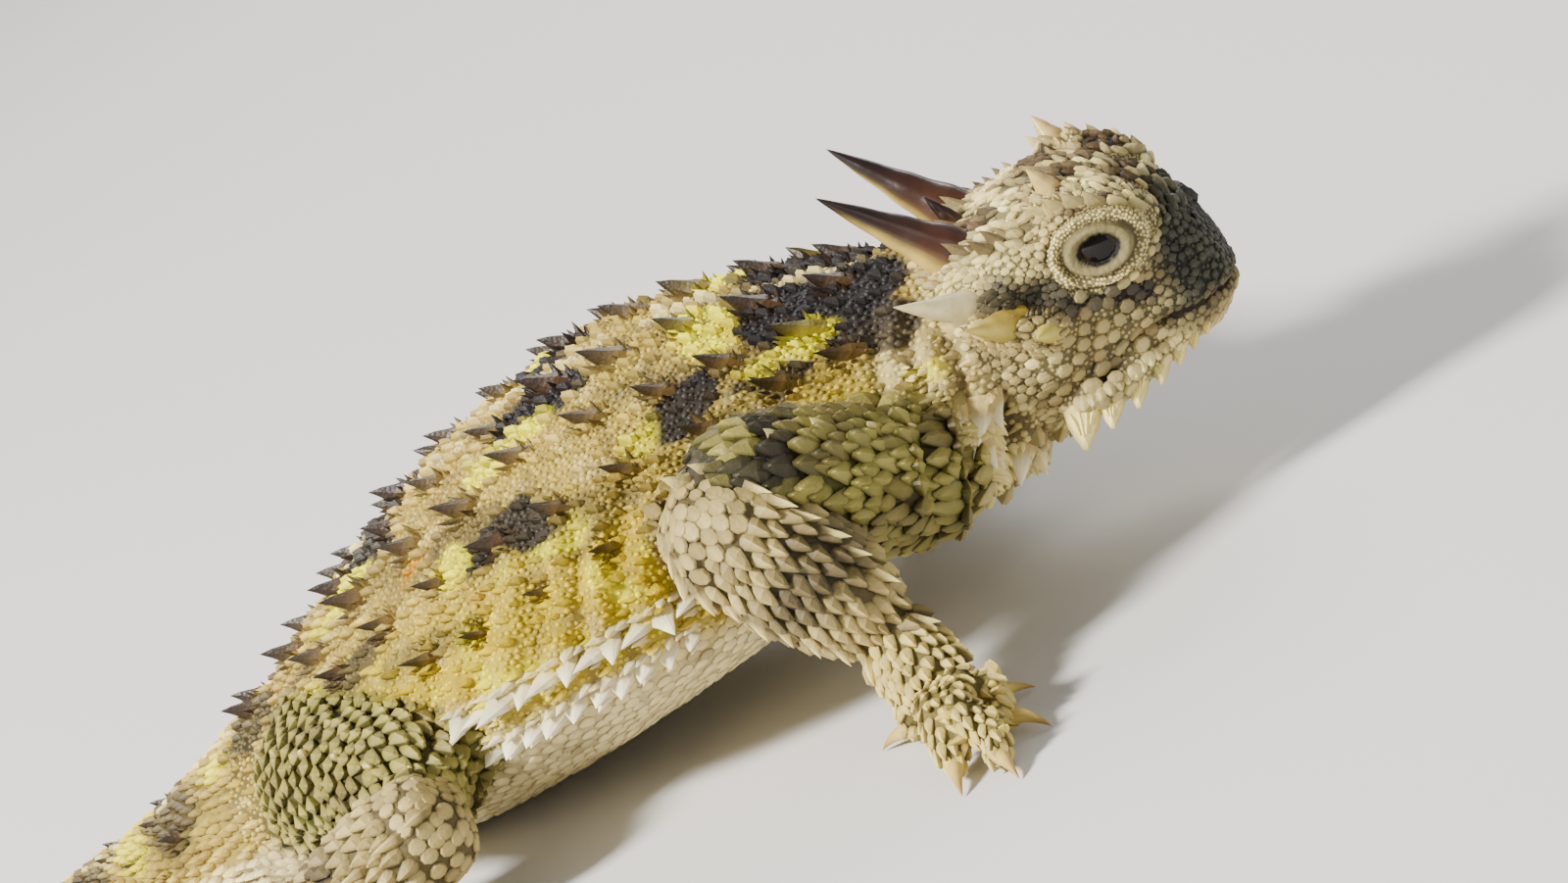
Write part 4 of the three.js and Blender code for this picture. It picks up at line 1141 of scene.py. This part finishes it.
# Longer pointed scales along the edges of the limbs, with roots darkened as painted shade and cream tips.
def limb_points():
    out = []
    for name, edges in LIMB_EDGES.items():
        for word, side in SIDES:
            stations = limb_stations(name, word, side)
            for way, count in edges:
                t = np.linspace(0.2, 0.96, count)
                centre, tangent = curve(stations[:, :3], t)
                outward = np.array(way) * (1, side, 1) / np.linalg.norm(way)
                p, n = ground.onto(centre + outward * radius_along(stations, t)[:, None])
                keep = limb_place(p)[0] < 1.2
                p, n, tangent = p[keep], n[keep], tangent[keep]
                tint = tone_of(p)
                size = sized(0.62, 0.5, 1.7) * jitter(len(p), 0.15)[:, None]
                out.append(stamp(spine_form(8, 0.5), p, unit(n + 0.9 * tangent), tangent, size, tint * 0.6,
                                 CREAM, curve_power=0.8))
    return out


# Small plates over the head: rounded on the cheeks, flat on the snout, rough on the crown, fine on the lids.
# Each is darkened at its rim as painted shade; those of the crown are also lightened at their tops as painted
# highlight.
def head_scales():
    q, d = eye_place(ground.centres)
    a = folded(ground.centres)
    reach = np.linalg.norm(q, axis=1)
    lid = (reach < LID_REACH) & (d < 2.7) & (a[:, 2] < LID_TOP)
    bulge = (reach < LID_RADIUS + 0.9) & (q[:, 1] > 1.0)
    crown = head_c & ~lid & ~bulge & (crown_height(a) > 23.6)
    rest = head_c & ~lid & ~crown & (mouth_gap(a, head_c) > 0.35)
    fine, mosaic = dome_form(6, 1.0, flat=0.7), scale_form(7, 0.05, 0.25, 0.1, width=0.95, bevel=0.75)
    rough = scale_form(8, 0.5, 0.6, 0.5, width=0.85, bevel=0.5)

    def crinkle(v):
        cheek = smoothstep(20.5, 18.0, v[:, 2]) * smoothstep(62.5, 60, v[:, 0]) * smoothstep(51, 54, v[:, 0])
        return 0.55 + 0.42 * cheek + 0.1 * noise(v, 2.5, 51)

    return [
        scattered(fine, lid & (d > 1.75), 0.22, 6, (0.6, 0.6, 0.12), (0.1, 0.88, 1), curve_power=1),
        scattered(fine, rest & (a[:, 0] > 50), 0.34, 6, (0.6, 0.56, 0.3), (0.2, 0.5, 1), curve_power=1,
                  gain=0.7),
        scattered(mosaic, rest, crinkle, 14, (0.68, 0.66, 0.3), (0.2, 0.25, 1.02), curve_power=1),
        scattered(rough, crown, lambda v: 0.8 + 0.25 * noise(v, 2.0, 53), 14, (0.72, 0.66, 0.34, 0.25),
                  (0.4, 0.25, 1.2), 0.06, 0.9, stray=0.8),
    ]


BROW = ((57.4, 7.6, 25.2), (59.4, 8.3, 25.3), (61.4, 7.9, 24.4), (63.2, 6.6, 22.9))
CREST = ((51.0, 1.6, 24.2), (50.9, 3.2, 24.4), (51.6, 6.6, 23.9), (53.0, 7.6, 24.3), (54.8, 7.4, 25.0))


# Pointed scales along the brow, and short spines about the bases of the horns. Their roots are darkened as
# painted shade; the brow points are also lightened at their tips as painted highlight, and the crest spines
# darken to umber.
def head_points():
    out = []
    for _, side in SIDES:
        q, way = curve(mirrored(BROW, side), np.linspace(0, 1, 6))
        p, n = ground.onto(q)
        up = unit(n + np.array((-0.25, side * 0.3, 0.7)))
        tint = blend(tone_of(p), CREAM, 0.5)
        size = sized(0.72, 0.42, np.linspace(1.9, 1.1, 6)) * jitter(6, 0.12)[:, None]
        out.append(stamp(spine_form(9, -0.5), p, up, way, size, tint * 0.5, lit(tint, 1.1), curve_power=1))
        q, _ = curve(mirrored(CREST, side), np.linspace(0, 1, 9))
        p, n = ground.onto(q + rng.uniform(-0.25, 0.25, (9, 3)))
        tint = blend(tone_of(p), UMBER, rng.random(9) * 0.6)
        size = sized(0.55, 0.5, 1.5) * jitter(9, 0.3)[:, None]
        out.append(stamp(spine_form(8, 0.4), p, unit(n + (-0.4, 0, 0.3)), BACKWARD, size, tint * 0.6,
                         lit(blend(tint, UMBER, 0.4), 1.0), curve_power=1))
    return out


BACK_ROWS = ((11, 1.0), (30, 1.0), (48, 0.85), (65, 0.7))
BACK_SPINE = dict(length=2.5, radius=0.78, lean=0.9, step=5.2, first=-10.2, last=42)
TAIL_ROWS = ((16, 0.75), (50, 0.7), (84, 0.8))
TAIL_SPINE = dict(length=2.4, radius=0.75, lean=1.0, step=4.6, first=-44, last=-17)
SPINE_DARK = colour(20, 15, 14)
SPINE_ROOT = colour(96, 72, 48)


# The trunk's places for pairs of x and degrees from the middle of the back, on one side.
def trunk_places(pairs, side):
    x, degrees = np.array(pairs).T
    return ground.onto(section(TRUNK, x, np.radians(90 - side * degrees), 2, 2.3))


# Places of the spines in rows, as pairs of x and degrees a little unevenly set, and how large each one is.
def row_places(rows, form):
    pairs, scale = [], []
    for row, (degrees, size) in enumerate(rows):
        shift = form["step"] / 2 if row % 2 else 0
        for x in np.arange(form["first"] + shift, form["last"] + 0.01, form["step"]):
            thin = float(np.clip((along(TRUNK, HALF, x) - 1) / 6, 0.5, 1))
            pairs.append((x + rng.uniform(-0.5, 0.5), degrees + rng.uniform(-2, 2)))
            scale.append(size * thin * rng.uniform(0.85, 1.15))
    return pairs, np.array(scale)


# Rings of small spines leaning up and back round the given places: count, distance, radius and length. Their
# roots are darkened as painted shade.
def rosette(p, n, scale, count, away, radius, length, lean, dark):
    out = []
    back = unit(BACKWARD - n * (n @ BACKWARD)[:, None])
    across = np.cross(n, back)
    for k in range(count):
        angle = (k + 0.5) / count * 2 * math.pi + rng.uniform(-0.25, 0.25)
        side = back * math.cos(angle) + across * math.sin(angle)
        q, m = ground.onto(p + side * (away * scale)[:, None])
        up = unit(m + side * 0.55 + back * lean)
        size = sized(radius * scale, radius * scale, length * scale) * jitter(len(q), 0.3)[:, None]
        tint = blend(tone_of(q), SPINE_ROOT, 0.25)
        end = blend(tint, SPINE_DARK, dark)
        out.append(stamp(spine_form(6, 0.25), q, up, back, size, tint * 0.6, end, curve_power=0.7))
    return out


# Dark spines in rows down the back and tail, each in a ring of smaller ones. The roots of all of them are
# darkened as painted shade.
def spines():
    out = []
    for _, side in SIDES:
        for rows, form in ((BACK_ROWS, BACK_SPINE), (TAIL_ROWS, TAIL_SPINE)):
            pairs, scale = row_places(rows, form)
            p, n = trunk_places(pairs, side)
            keep = limb_place(p)[0] > 1.15
            p, n, scale = p[keep], n[keep], scale[keep]
            up = unit(n + np.array((-form["lean"], 0, 0)))
            size = sized(form["radius"] * 1.25 * scale, form["radius"] * 0.9 * scale, form["length"] * scale)
            root = blend(tone_of(p), SPINE_ROOT, 0.7)
            out.append(stamp(spine_form(), p, up, BACKWARD, size, root * 0.6,
                             SPINE_DARK, curve_power=0.45))
            out += rosette(p, n, scale, 7, form["radius"] * 1.25, 0.3, 1.15, 0.5, 0.85)
            out += rosette(p, n, scale, 9, form["radius"] * 1.9, 0.24, 0.7, 0.4, 0.35)
    return out


FRINGE_ROWS = ((0, 2.0, 0.0), (-13, 1.2, 0.5))
FRINGE = dict(step=1.75, first=-6.5, last={"right": 27, "left": 33}, lean=0.35)
FRINGE_WHITE = colour(246, 240, 214)


# The fringe down each flank: an upper row of white points and a lower row of short ones. Roots are darkened
# as painted shade; the small points beside them are lightened at their tips as painted highlight.
def fringe():
    out = []
    for word, side in SIDES:
        for degrees, length, shift in FRINGE_ROWS:
            first = FRINGE["first"] + shift * FRINGE["step"]
            x = np.arange(first, FRINGE["last"][word] + 0.01, FRINGE["step"])
            p, n = trunk_places([(v + rng.uniform(-0.2, 0.2), 90 - degrees) for v in x], side)
            keep = limb_place(p)[0] > 1.12
            p, n = p[keep], n[keep]
            outward = unit(n + np.array((-FRINGE["lean"], 0, -0.25)))
            tint = blend(tone_of(p), FRINGE_WHITE, 0.5)
            size = sized(0.8, 0.6, length) * jitter(len(p), 0.2)[:, None]
            out.append(stamp(spine_form(9, 0.1), p, outward, BACKWARD, size, tint * 0.75,
                             FRINGE_WHITE, curve_power=0.6))
            for dx, dz in ((-0.7, 0.75), (0.4, 0.85), (0.0, -0.7)):
                q, m = ground.onto(p + np.array((dx, 0, dz)))
                size = sized(0.42, 0.36, 0.9) * jitter(len(q), 0.25)[:, None]
                out.append(stamp(spine_form(7, 0.1), q, unit(m + BACKWARD * 0.5), BACKWARD, size,
                                 tint * 0.7, lit(tint, 1.15), curve_power=0.7))
    return out


# Smaller points on the neck: x, degrees from the middle of the back, and length.
NECK_SPINES = (
    (45.6, 94, 1.5), (45.0, 102, 1.3), (45.4, 110, 1.5), (48.2, 114, 1.3), (45.0, 128, 1.2),
    (48.0, 130, 1.3), (45.8, 78, 1.2), (45.4, 66, 1.1), (46.8, 104, 1.4), (47.2, 96, 1.2),
    (46.6, 120, 1.4), (48.4, 100, 1.2), (48.0, 106, 1.3), (49.0, 104, 1.2), (49.6, 143, 1.2),
    (48.8, 138, 1.3), (50.4, 148, 1.1), (49.2, 128, 1.2),
)


# Long white cones hanging from the folds of the neck: x, y, z and length.
NECK_CONES = (
    (46.2, 12.6, 15.6, 1.4), (46.8, 11.9, 15.1, 1.8), (48.2, 11.2, 14.6, 2.3), (49.3, 10.8, 14.8, 1.8),
    (47.0, 13.0, 13.4, 1.2), (47.7, 12.4, 12.6, 1.6), (48.2, 11.2, 11.7, 1.9), (49.3, 8.7, 10.2, 2.3),
    (50.3, 6.7, 9.1, 1.8),
)
HANGING = np.array((-0.38, 0.33, -0.86))


# Clusters of white points on the folds of the neck. The roots of the clustered points are darkened as painted
# shade, and the small ones round them are lightened at their tips as painted highlight.
def neck_spines():
    out = []
    for _, side in SIDES:
        cones = np.array(NECK_CONES)
        p, n = ground.onto(cones[:, :3] * (1, side, 1))
        length = cones[:, 3]
        size = sized(0.42 * length, 0.38 * length, length)
        out.append(stamp(spine_form(10, 0.1), p, unit(n * 0.6 + HANGING * (1, side, 1)), BACKWARD, size,
                         GREY_BEIGE, FRINGE_WHITE, curve_power=0.6))
        p, n = trunk_places([(x, d) for x, d, _ in NECK_SPINES], side)
        length = np.array([h for _, _, h in NECK_SPINES])
        tint = blend(tone_of(p), CREAM, 0.6)
        up = unit(n + np.array((-0.25, 0, -0.35)))
        size = sized(0.6, 0.6, length)
        out.append(stamp(spine_form(9, 0.2), p, up, BACKWARD, size, tint * 0.65,
                         CREAM, curve_power=0.7))
        for angle in turns(7):
            q, m = ground.onto(p + np.array((math.cos(angle), 0, math.sin(angle))) * 0.85)
            small = sized(0.36, 0.36, length * 0.62) * jitter(len(q), 0.2)[:, None]
            out.append(stamp(spine_form(7, 0.2), q, unit(m + (0, 0, -0.35)), BACKWARD, small,
                             tint * 0.6, lit(tint, 1.2), curve_power=0.8))
    return out


CHIN_LINE = ((64.2, 3.9, 12.3), (61.2, 6.1, 11.8), (57.8, 8.0, 11.4), (54.2, 9.4, 11.2))
CHIN_SCALES = ((0.02, 0.5, 0.7), (0.14, 0.6, 0.9), (0.27, 0.75, 1.1), (0.42, 0.9, 1.4), (0.6, 1.1, 1.8),
               (0.79, 1.3, 2.0), (0.98, 1.6, 2.35))
CHIN_TIP = colour(240, 228, 170)
CHIN_ROOT = colour(206, 184, 112)


# The chin fringe: ribbed cream scales along the jaw's edge, the largest at its rear, with small ones above.
# Roots are darkened as painted shade; the small ones above are also lightened at their tips as painted
# highlight.
def chin_fringe():
    t, wide, length = np.array(CHIN_SCALES).T
    out = []
    for _, side in SIDES:
        p, way = curve(mirrored(CHIN_LINE, side), t)
        down = unit(np.tile((-0.25, side * 0.6, -0.8), (len(t), 1)))
        outward = np.cross(down, way)
        outward = unit(outward * np.sign(outward[:, 1:2]) * side)
        for rib in (-0.5, -0.17, 0.17, 0.5):
            q = p + way * (wide * rib)[:, None]
            size = sized(length * 0.55 * (1 - 0.7 * abs(rib)), wide * 0.36, wide * 0.36)
            lean = unit(down - way * rib * 0.7)
            out.append(stamp(scale_form(8, 0.8, 0.5, 0.15, 0.5), q, outward, lean, size,
                             CHIN_ROOT * 0.55, CHIN_TIP, curve_power=0.8))
        size = sized(length * 0.6, wide * 1.05, wide * 0.3)
        main = scale_form(12, 0.75, 0.5, 0.15, 0.6, bevel=0.5)
        out.append(stamp(main, p + outward * -0.1, outward, down, size,
                         CHIN_ROOT * 0.6, CHIN_TIP, curve_power=0.9))
        row = np.linspace(0.04, 1, 17)
        q, _ = curve(mirrored(CHIN_LINE, side), row)
        q, m = ground.onto(q + np.array((0, side * 0.5, 0.9)))
        small = sized(0.5, 0.55, 0.4) * (0.7 + 0.5 * row)[:, None]
        shade = tone_of(q)
        out.append(stamp(scale_form(9, 0.2, 0.3, 0.4), q, m, np.array((-0.2, 0, -1.0)), small, shade * 0.5,
                         lit(shade, 1.15), 0.1))
    return out


# A swept solid for horns and claws: rings along a bend from root to tip, finely ribbed.
def horn(name, root, tip, radius, bend, tone_along, material, around=28, count=40, ribs=0.03):
    a, b = np.asarray(root, float), np.asarray(tip, float)
    middle = (a + b) / 2 + bend
    u = np.linspace(0, 0.985, count)[:, None]
    centre = a * (1 - u) ** 2 + middle * 2 * u * (1 - u) + b * u ** 2
    tangent = (middle - a) * 2 * (1 - u) + (b - middle) * 2 * u
    tangent /= np.linalg.norm(tangent, axis=1, keepdims=True)
    hint = np.array((1.0, 0, 0)) if abs(tangent[0, 2]) > 0.9 else np.array((0, 0, 1.0))
    across, up = turned(tangent, hint)
    angle = turns(around)
    r = radius * (1 - u) ** 0.85 * (1 + ribs * np.sin(angle * 7 + 2)[None] + ribs * np.sin(u * 26))
    rings = (centre[:, None] + across[:, None] * (r * np.cos(angle))[..., None]
             + up[:, None] * (r * np.sin(angle))[..., None])
    points, faces = shell(rings, a, b)
    obj = mesh_object(name + "_fine", points, faces)
    share = np.append(np.repeat(u[:, 0], around), (0, 1))
    height = np.append(np.tile(np.sin(angle), count), (0, 0))
    set_tone(obj, tone_along(share, height))
    obj.data.materials.append(material)
    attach(obj, "root")
    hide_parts(name)
    return obj


def horn_tones(root, tip, under=None, turn=0.45):
    def tone_along(share, height):
        tone = blend(root, tip, smoothstep(turn - 0.35, turn + 0.35, share))
        if under is not None:
            tone = blend(tone, under, smoothstep(0.1, 0.8, -height) * smoothstep(0.95, 0.6, share) * 0.75)
        return tone
    return tone_along


HORN_BROWN = colour(70, 46, 36)
HORN_BLACK = colour(30, 20, 18)
HORN_CREAM = colour(222, 200, 138)
HORN_PALE = colour(214, 202, 166)
HORNS = [
    ("horn_occipital", (51.6, 4.3, 22.6), (43.6, 6.0, 31.8), 2.3, (0.6, 0, -0.7),
     horn_tones(HORN_BROWN, HORN_BLACK, HORN_CREAM), "dark_horn"),
    ("horn_superciliary", (58.8, 5.9, 24.2), (57.6, 6.6, 28.1), 1.6, (0.3, 0, 0),
     horn_tones(colour(150, 124, 86), colour(196, 176, 130)), "dark_horn"),
    ("horn_temporal_rear", (51.8, 8.0, 20.6), (46.4, 12.6, 24.4), 1.7, (0.2, 0.4, -0.4),
     horn_tones(HORN_PALE * 0.8, HORN_PALE), "pale_horn"),
    ("horn_temporal_middle", (53.0, 9.6, 19.2), (50.4, 14.2, 21.4), 1.5, (0, 0, -0.2),
     horn_tones(colour(164, 144, 84), colour(200, 182, 118)), "pale_horn"),
    ("horn_temporal_front", (55.2, 9.2, 17.8), (54.4, 13.0, 18.6), 1.25, (0, 0, 0),
     horn_tones(colour(158, 146, 78), colour(196, 186, 116)), "pale_horn"),
]


# Depth of the ribs of each kind of horn, as a share of its radius.
RIBS = {"dark_horn": 0.03, "pale_horn": 0.012}


# Scales in a ring about the base of each horn, lying along it, darkened at their roots as painted shade and
# lightened at their tips as painted highlight.
def horn_collars():
    out = []
    for name, root, tip, radius, _, _, _ in HORNS:
        for _, side in SIDES:
            base, end = np.array(root) * (1, side, 1), np.array(tip) * (1, side, 1)
            way = (end - base) / np.linalg.norm(end - base)
            for reach, count in ((1.0, 11), (1.3, 13)):
                ring = circle(way, turns(count, rng.random()))
                q, n = ground.onto(base + way * radius * 0.9 + ring * radius * reach)
                tint = lit(tone_of(q), jitter(count, 0.2))
                if name == "horn_occipital":
                    tint = blend(tint, HORN_BROWN, 0.5)
                size = sized(0.55, 0.5, 0.4) * (0.45 + 0.25 * radius) * jitter(count, 0.2)[:, None]
                out.append(stamp(scale_form(9, 0.5, 0.5, 0.5), q, n, way, size, tint * 0.4,
                                 lit(tint, 1.15), 0.25, 1.0))
    return out


def make_horns():
    for name, root, tip, radius, bend, tones, slot in HORNS:
        for word, side in SIDES:
            flip = np.array((1, side, 1))
            obj = horn(f"{name}_{word}", root * flip, tip * flip, radius, bend * flip, tones, HORN_FINISH,
                       ribs=RIBS[slot])
    obj = horn("horn_interoccipital", (51.2, 0, 23.6), (49.4, 0, 27.4), 1.1, np.zeros(3),
               horn_tones(HORN_BROWN, HORN_BLACK), HORN_FINISH)


CLAW_RADIUS = 0.72
CLAW_BEND = np.array((0, 0, 0.75))


def make_claws():
    tones = horn_tones(colour(196, 176, 120), colour(150, 120, 78), turn=0.7)
    for paw, plan in PAWS.items():
        kx, ky, _ = plan["knuckle"]
        for word, side in SIDES:
            for i, (x, y, _) in enumerate(plan["digits"]):
                ahead = np.array((x - kx, y - ky)) / math.hypot(x - kx, y - ky)
                root = (x - ahead[0] * 0.6, side * (y - ahead[1] * 0.6), TIP_HEIGHT + 0.25)
                end = (x + ahead[0] * CLAW_LENGTH, side * (y + ahead[1] * CLAW_LENGTH), 0.12)
                obj = horn(f"claw_{paw}_{word}_{i + 1}", root, end, CLAW_RADIUS, CLAW_BEND, tones,
                           CLAW_FINISH, 16, 18, 0.01)


PUPIL_BLACK = colour(14, 10, 9)
IRIS_BROWN = colour(60, 42, 26)


def make_eyes():
    finish, shader, nodes, links = new_material("EyeFinish", 0.08)
    shader.inputs["Specular IOR Level"].default_value = 0.25
    links.new(tone_node(nodes).outputs["Color"], shader.inputs["Base Color"])
    for word, side in SIDES:
        centre = EYE_CENTRE * (1, side, 1)
        points, faces = ball(centre, EYE_RADIUS, 96, 64)
        obj = mesh_object(f"eyeball_{word}", points, faces)
        q = points - centre
        off = np.hypot(q[:, 0], q[:, 2])
        iris = smoothstep(1.02, 1.12, off) * smoothstep(1.75, 1.3, off)
        set_tone(obj, blend(PUPIL_BLACK, IRIS_BROWN, iris * 0.7))
        obj.data.materials.append(finish)
        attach(obj, "root")
        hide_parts(f"eye_{word}")


make_eyes()
make_horns()
make_claws()
coat("granules", [granules()], ["torso", "neck"], SCALE_FINISH)
coat("tubercles", [tubercles()], ["torso", "neck"], SCALE_FINISH, False)
coat("belly_scales", [belly_scales()], ["torso"], SCALE_FINISH)
coat("tail_scales", [tail_scales()], ["tail"], SCALE_FINISH, False)
coat("limb_scales", limb_scales(), LIMB_NODES, SCALE_FINISH, False)
coat("limb_points", limb_points(), LIMB_NODES, SCALE_FINISH, False)
coat("head_scales", head_scales(), ["head"], SCALE_FINISH, False)
coat("head_points", head_points() + horn_collars(), ["head"], SCALE_FINISH, False)
coat("back_spines", spines(), ["torso", "tail"], SPINE_FINISH, False)
coat("fringe", fringe(), ["torso"], SCALE_FINISH, False)
coat("neck_spines", neck_spines(), ["neck"], SCALE_FINISH, False)
coat("chin_fringe", chin_fringe(), ["head"], SCALE_FINISH, False)


# Floor, soft studio light, and a camera on the animal's right, rolled so that the body climbs.
FLOOR_HALF = 3000
FLOOR_Z = -0.02
CAMERA_AZIMUTH, CAMERA_ELEVATION, CAMERA_ROLL = 12.0, 16.0, 26.0
CAMERA_DISTANCE = 350
CAMERA_TARGET = np.array((33.0, 0.0, 15.0))
PIXELS_PER_MM = 14.5
IMAGE_WIDTH = 1600
SENSOR_WIDTH = 36
FLOOR_COLOUR = (0.72, 0.71, 0.69, 1)
FLOOR_ROUGHNESS = 0.85
LIGHT_TARGET = Vector((0.03, 0, 0.012))
# Name, place and size in metres, power and colour.
LIGHTS = (
    ("key", (-0.4, -0.35, 0.42), 0.13, 14.0, (1.0, 0.97, 0.91)),
    ("fill", (0.5, -0.5, 0.25), 0.5, 1.2, (1.0, 0.98, 0.95)),
    ("back", (0.1, 0.5, 0.4), 0.4, 3.0, (1.0, 1.0, 1.0)),
)
AMBIENT_COLOUR = (1.0, 0.98, 0.95, 1)
AMBIENT_STRENGTH = 0.32


def make_floor():
    corners = np.array([(-1, -1, 0), (1, -1, 0), (1, 1, 0), (-1, 1, 0)], float) * FLOOR_HALF
    corners[:, 2] = FLOOR_Z
    floor = mesh_object("floor", corners, [(0, 1, 2, 3)], smooth=False)
    material, shader, _, _ = new_material("FloorFinish", FLOOR_ROUGHNESS)
    shader.inputs["Base Color"].default_value = FLOOR_COLOUR
    floor.data.materials.append(material)


def make_camera():
    az, el, roll = (math.radians(v) for v in (CAMERA_AZIMUTH, CAMERA_ELEVATION, CAMERA_ROLL))
    back = np.array((math.sin(az) * math.cos(el), -math.cos(az) * math.cos(el), math.sin(el)))
    right = np.array((math.cos(az), math.sin(az), 0))
    up = np.cross(back, right)
    image_right = right * math.cos(roll) - up * math.sin(roll)
    image_up = right * math.sin(roll) + up * math.cos(roll)
    data = bpy.data.cameras.new("camera")
    data.sensor_width = SENSOR_WIDTH
    data.lens = data.sensor_width * PIXELS_PER_MM * CAMERA_DISTANCE / IMAGE_WIDTH
    data.clip_start = 0.01
    camera = bpy.data.objects.new("camera", data)
    bpy.context.scene.collection.objects.link(camera)
    axes = np.stack([image_right, image_up, back], 1)
    place = Matrix.Translation(Vector((CAMERA_TARGET + back * CAMERA_DISTANCE) * MM))
    camera.matrix_world = place @ Matrix(axes.tolist()).to_4x4()
    bpy.context.scene.camera = camera


def make_light(name, place, size, power, tint):
    data = bpy.data.lights.new(name, "AREA")
    data.size = size
    data.energy = power
    data.color = tint
    light = bpy.data.objects.new(name, data)
    bpy.context.scene.collection.objects.link(light)
    light.location = place
    light.rotation_mode = "QUATERNION"
    light.rotation_quaternion = (LIGHT_TARGET - light.location).to_track_quat("-Z", "Y")


def make_lights():
    for values in LIGHTS:
        make_light(*values)
    world = bpy.data.worlds.new("studio")
    world.use_nodes = True
    background = world.node_tree.nodes["Background"]
    background.inputs["Color"].default_value = AMBIENT_COLOUR
    background.inputs["Strength"].default_value = AMBIENT_STRENGTH
    bpy.context.scene.world = world


make_floor()
make_camera()
make_lights()
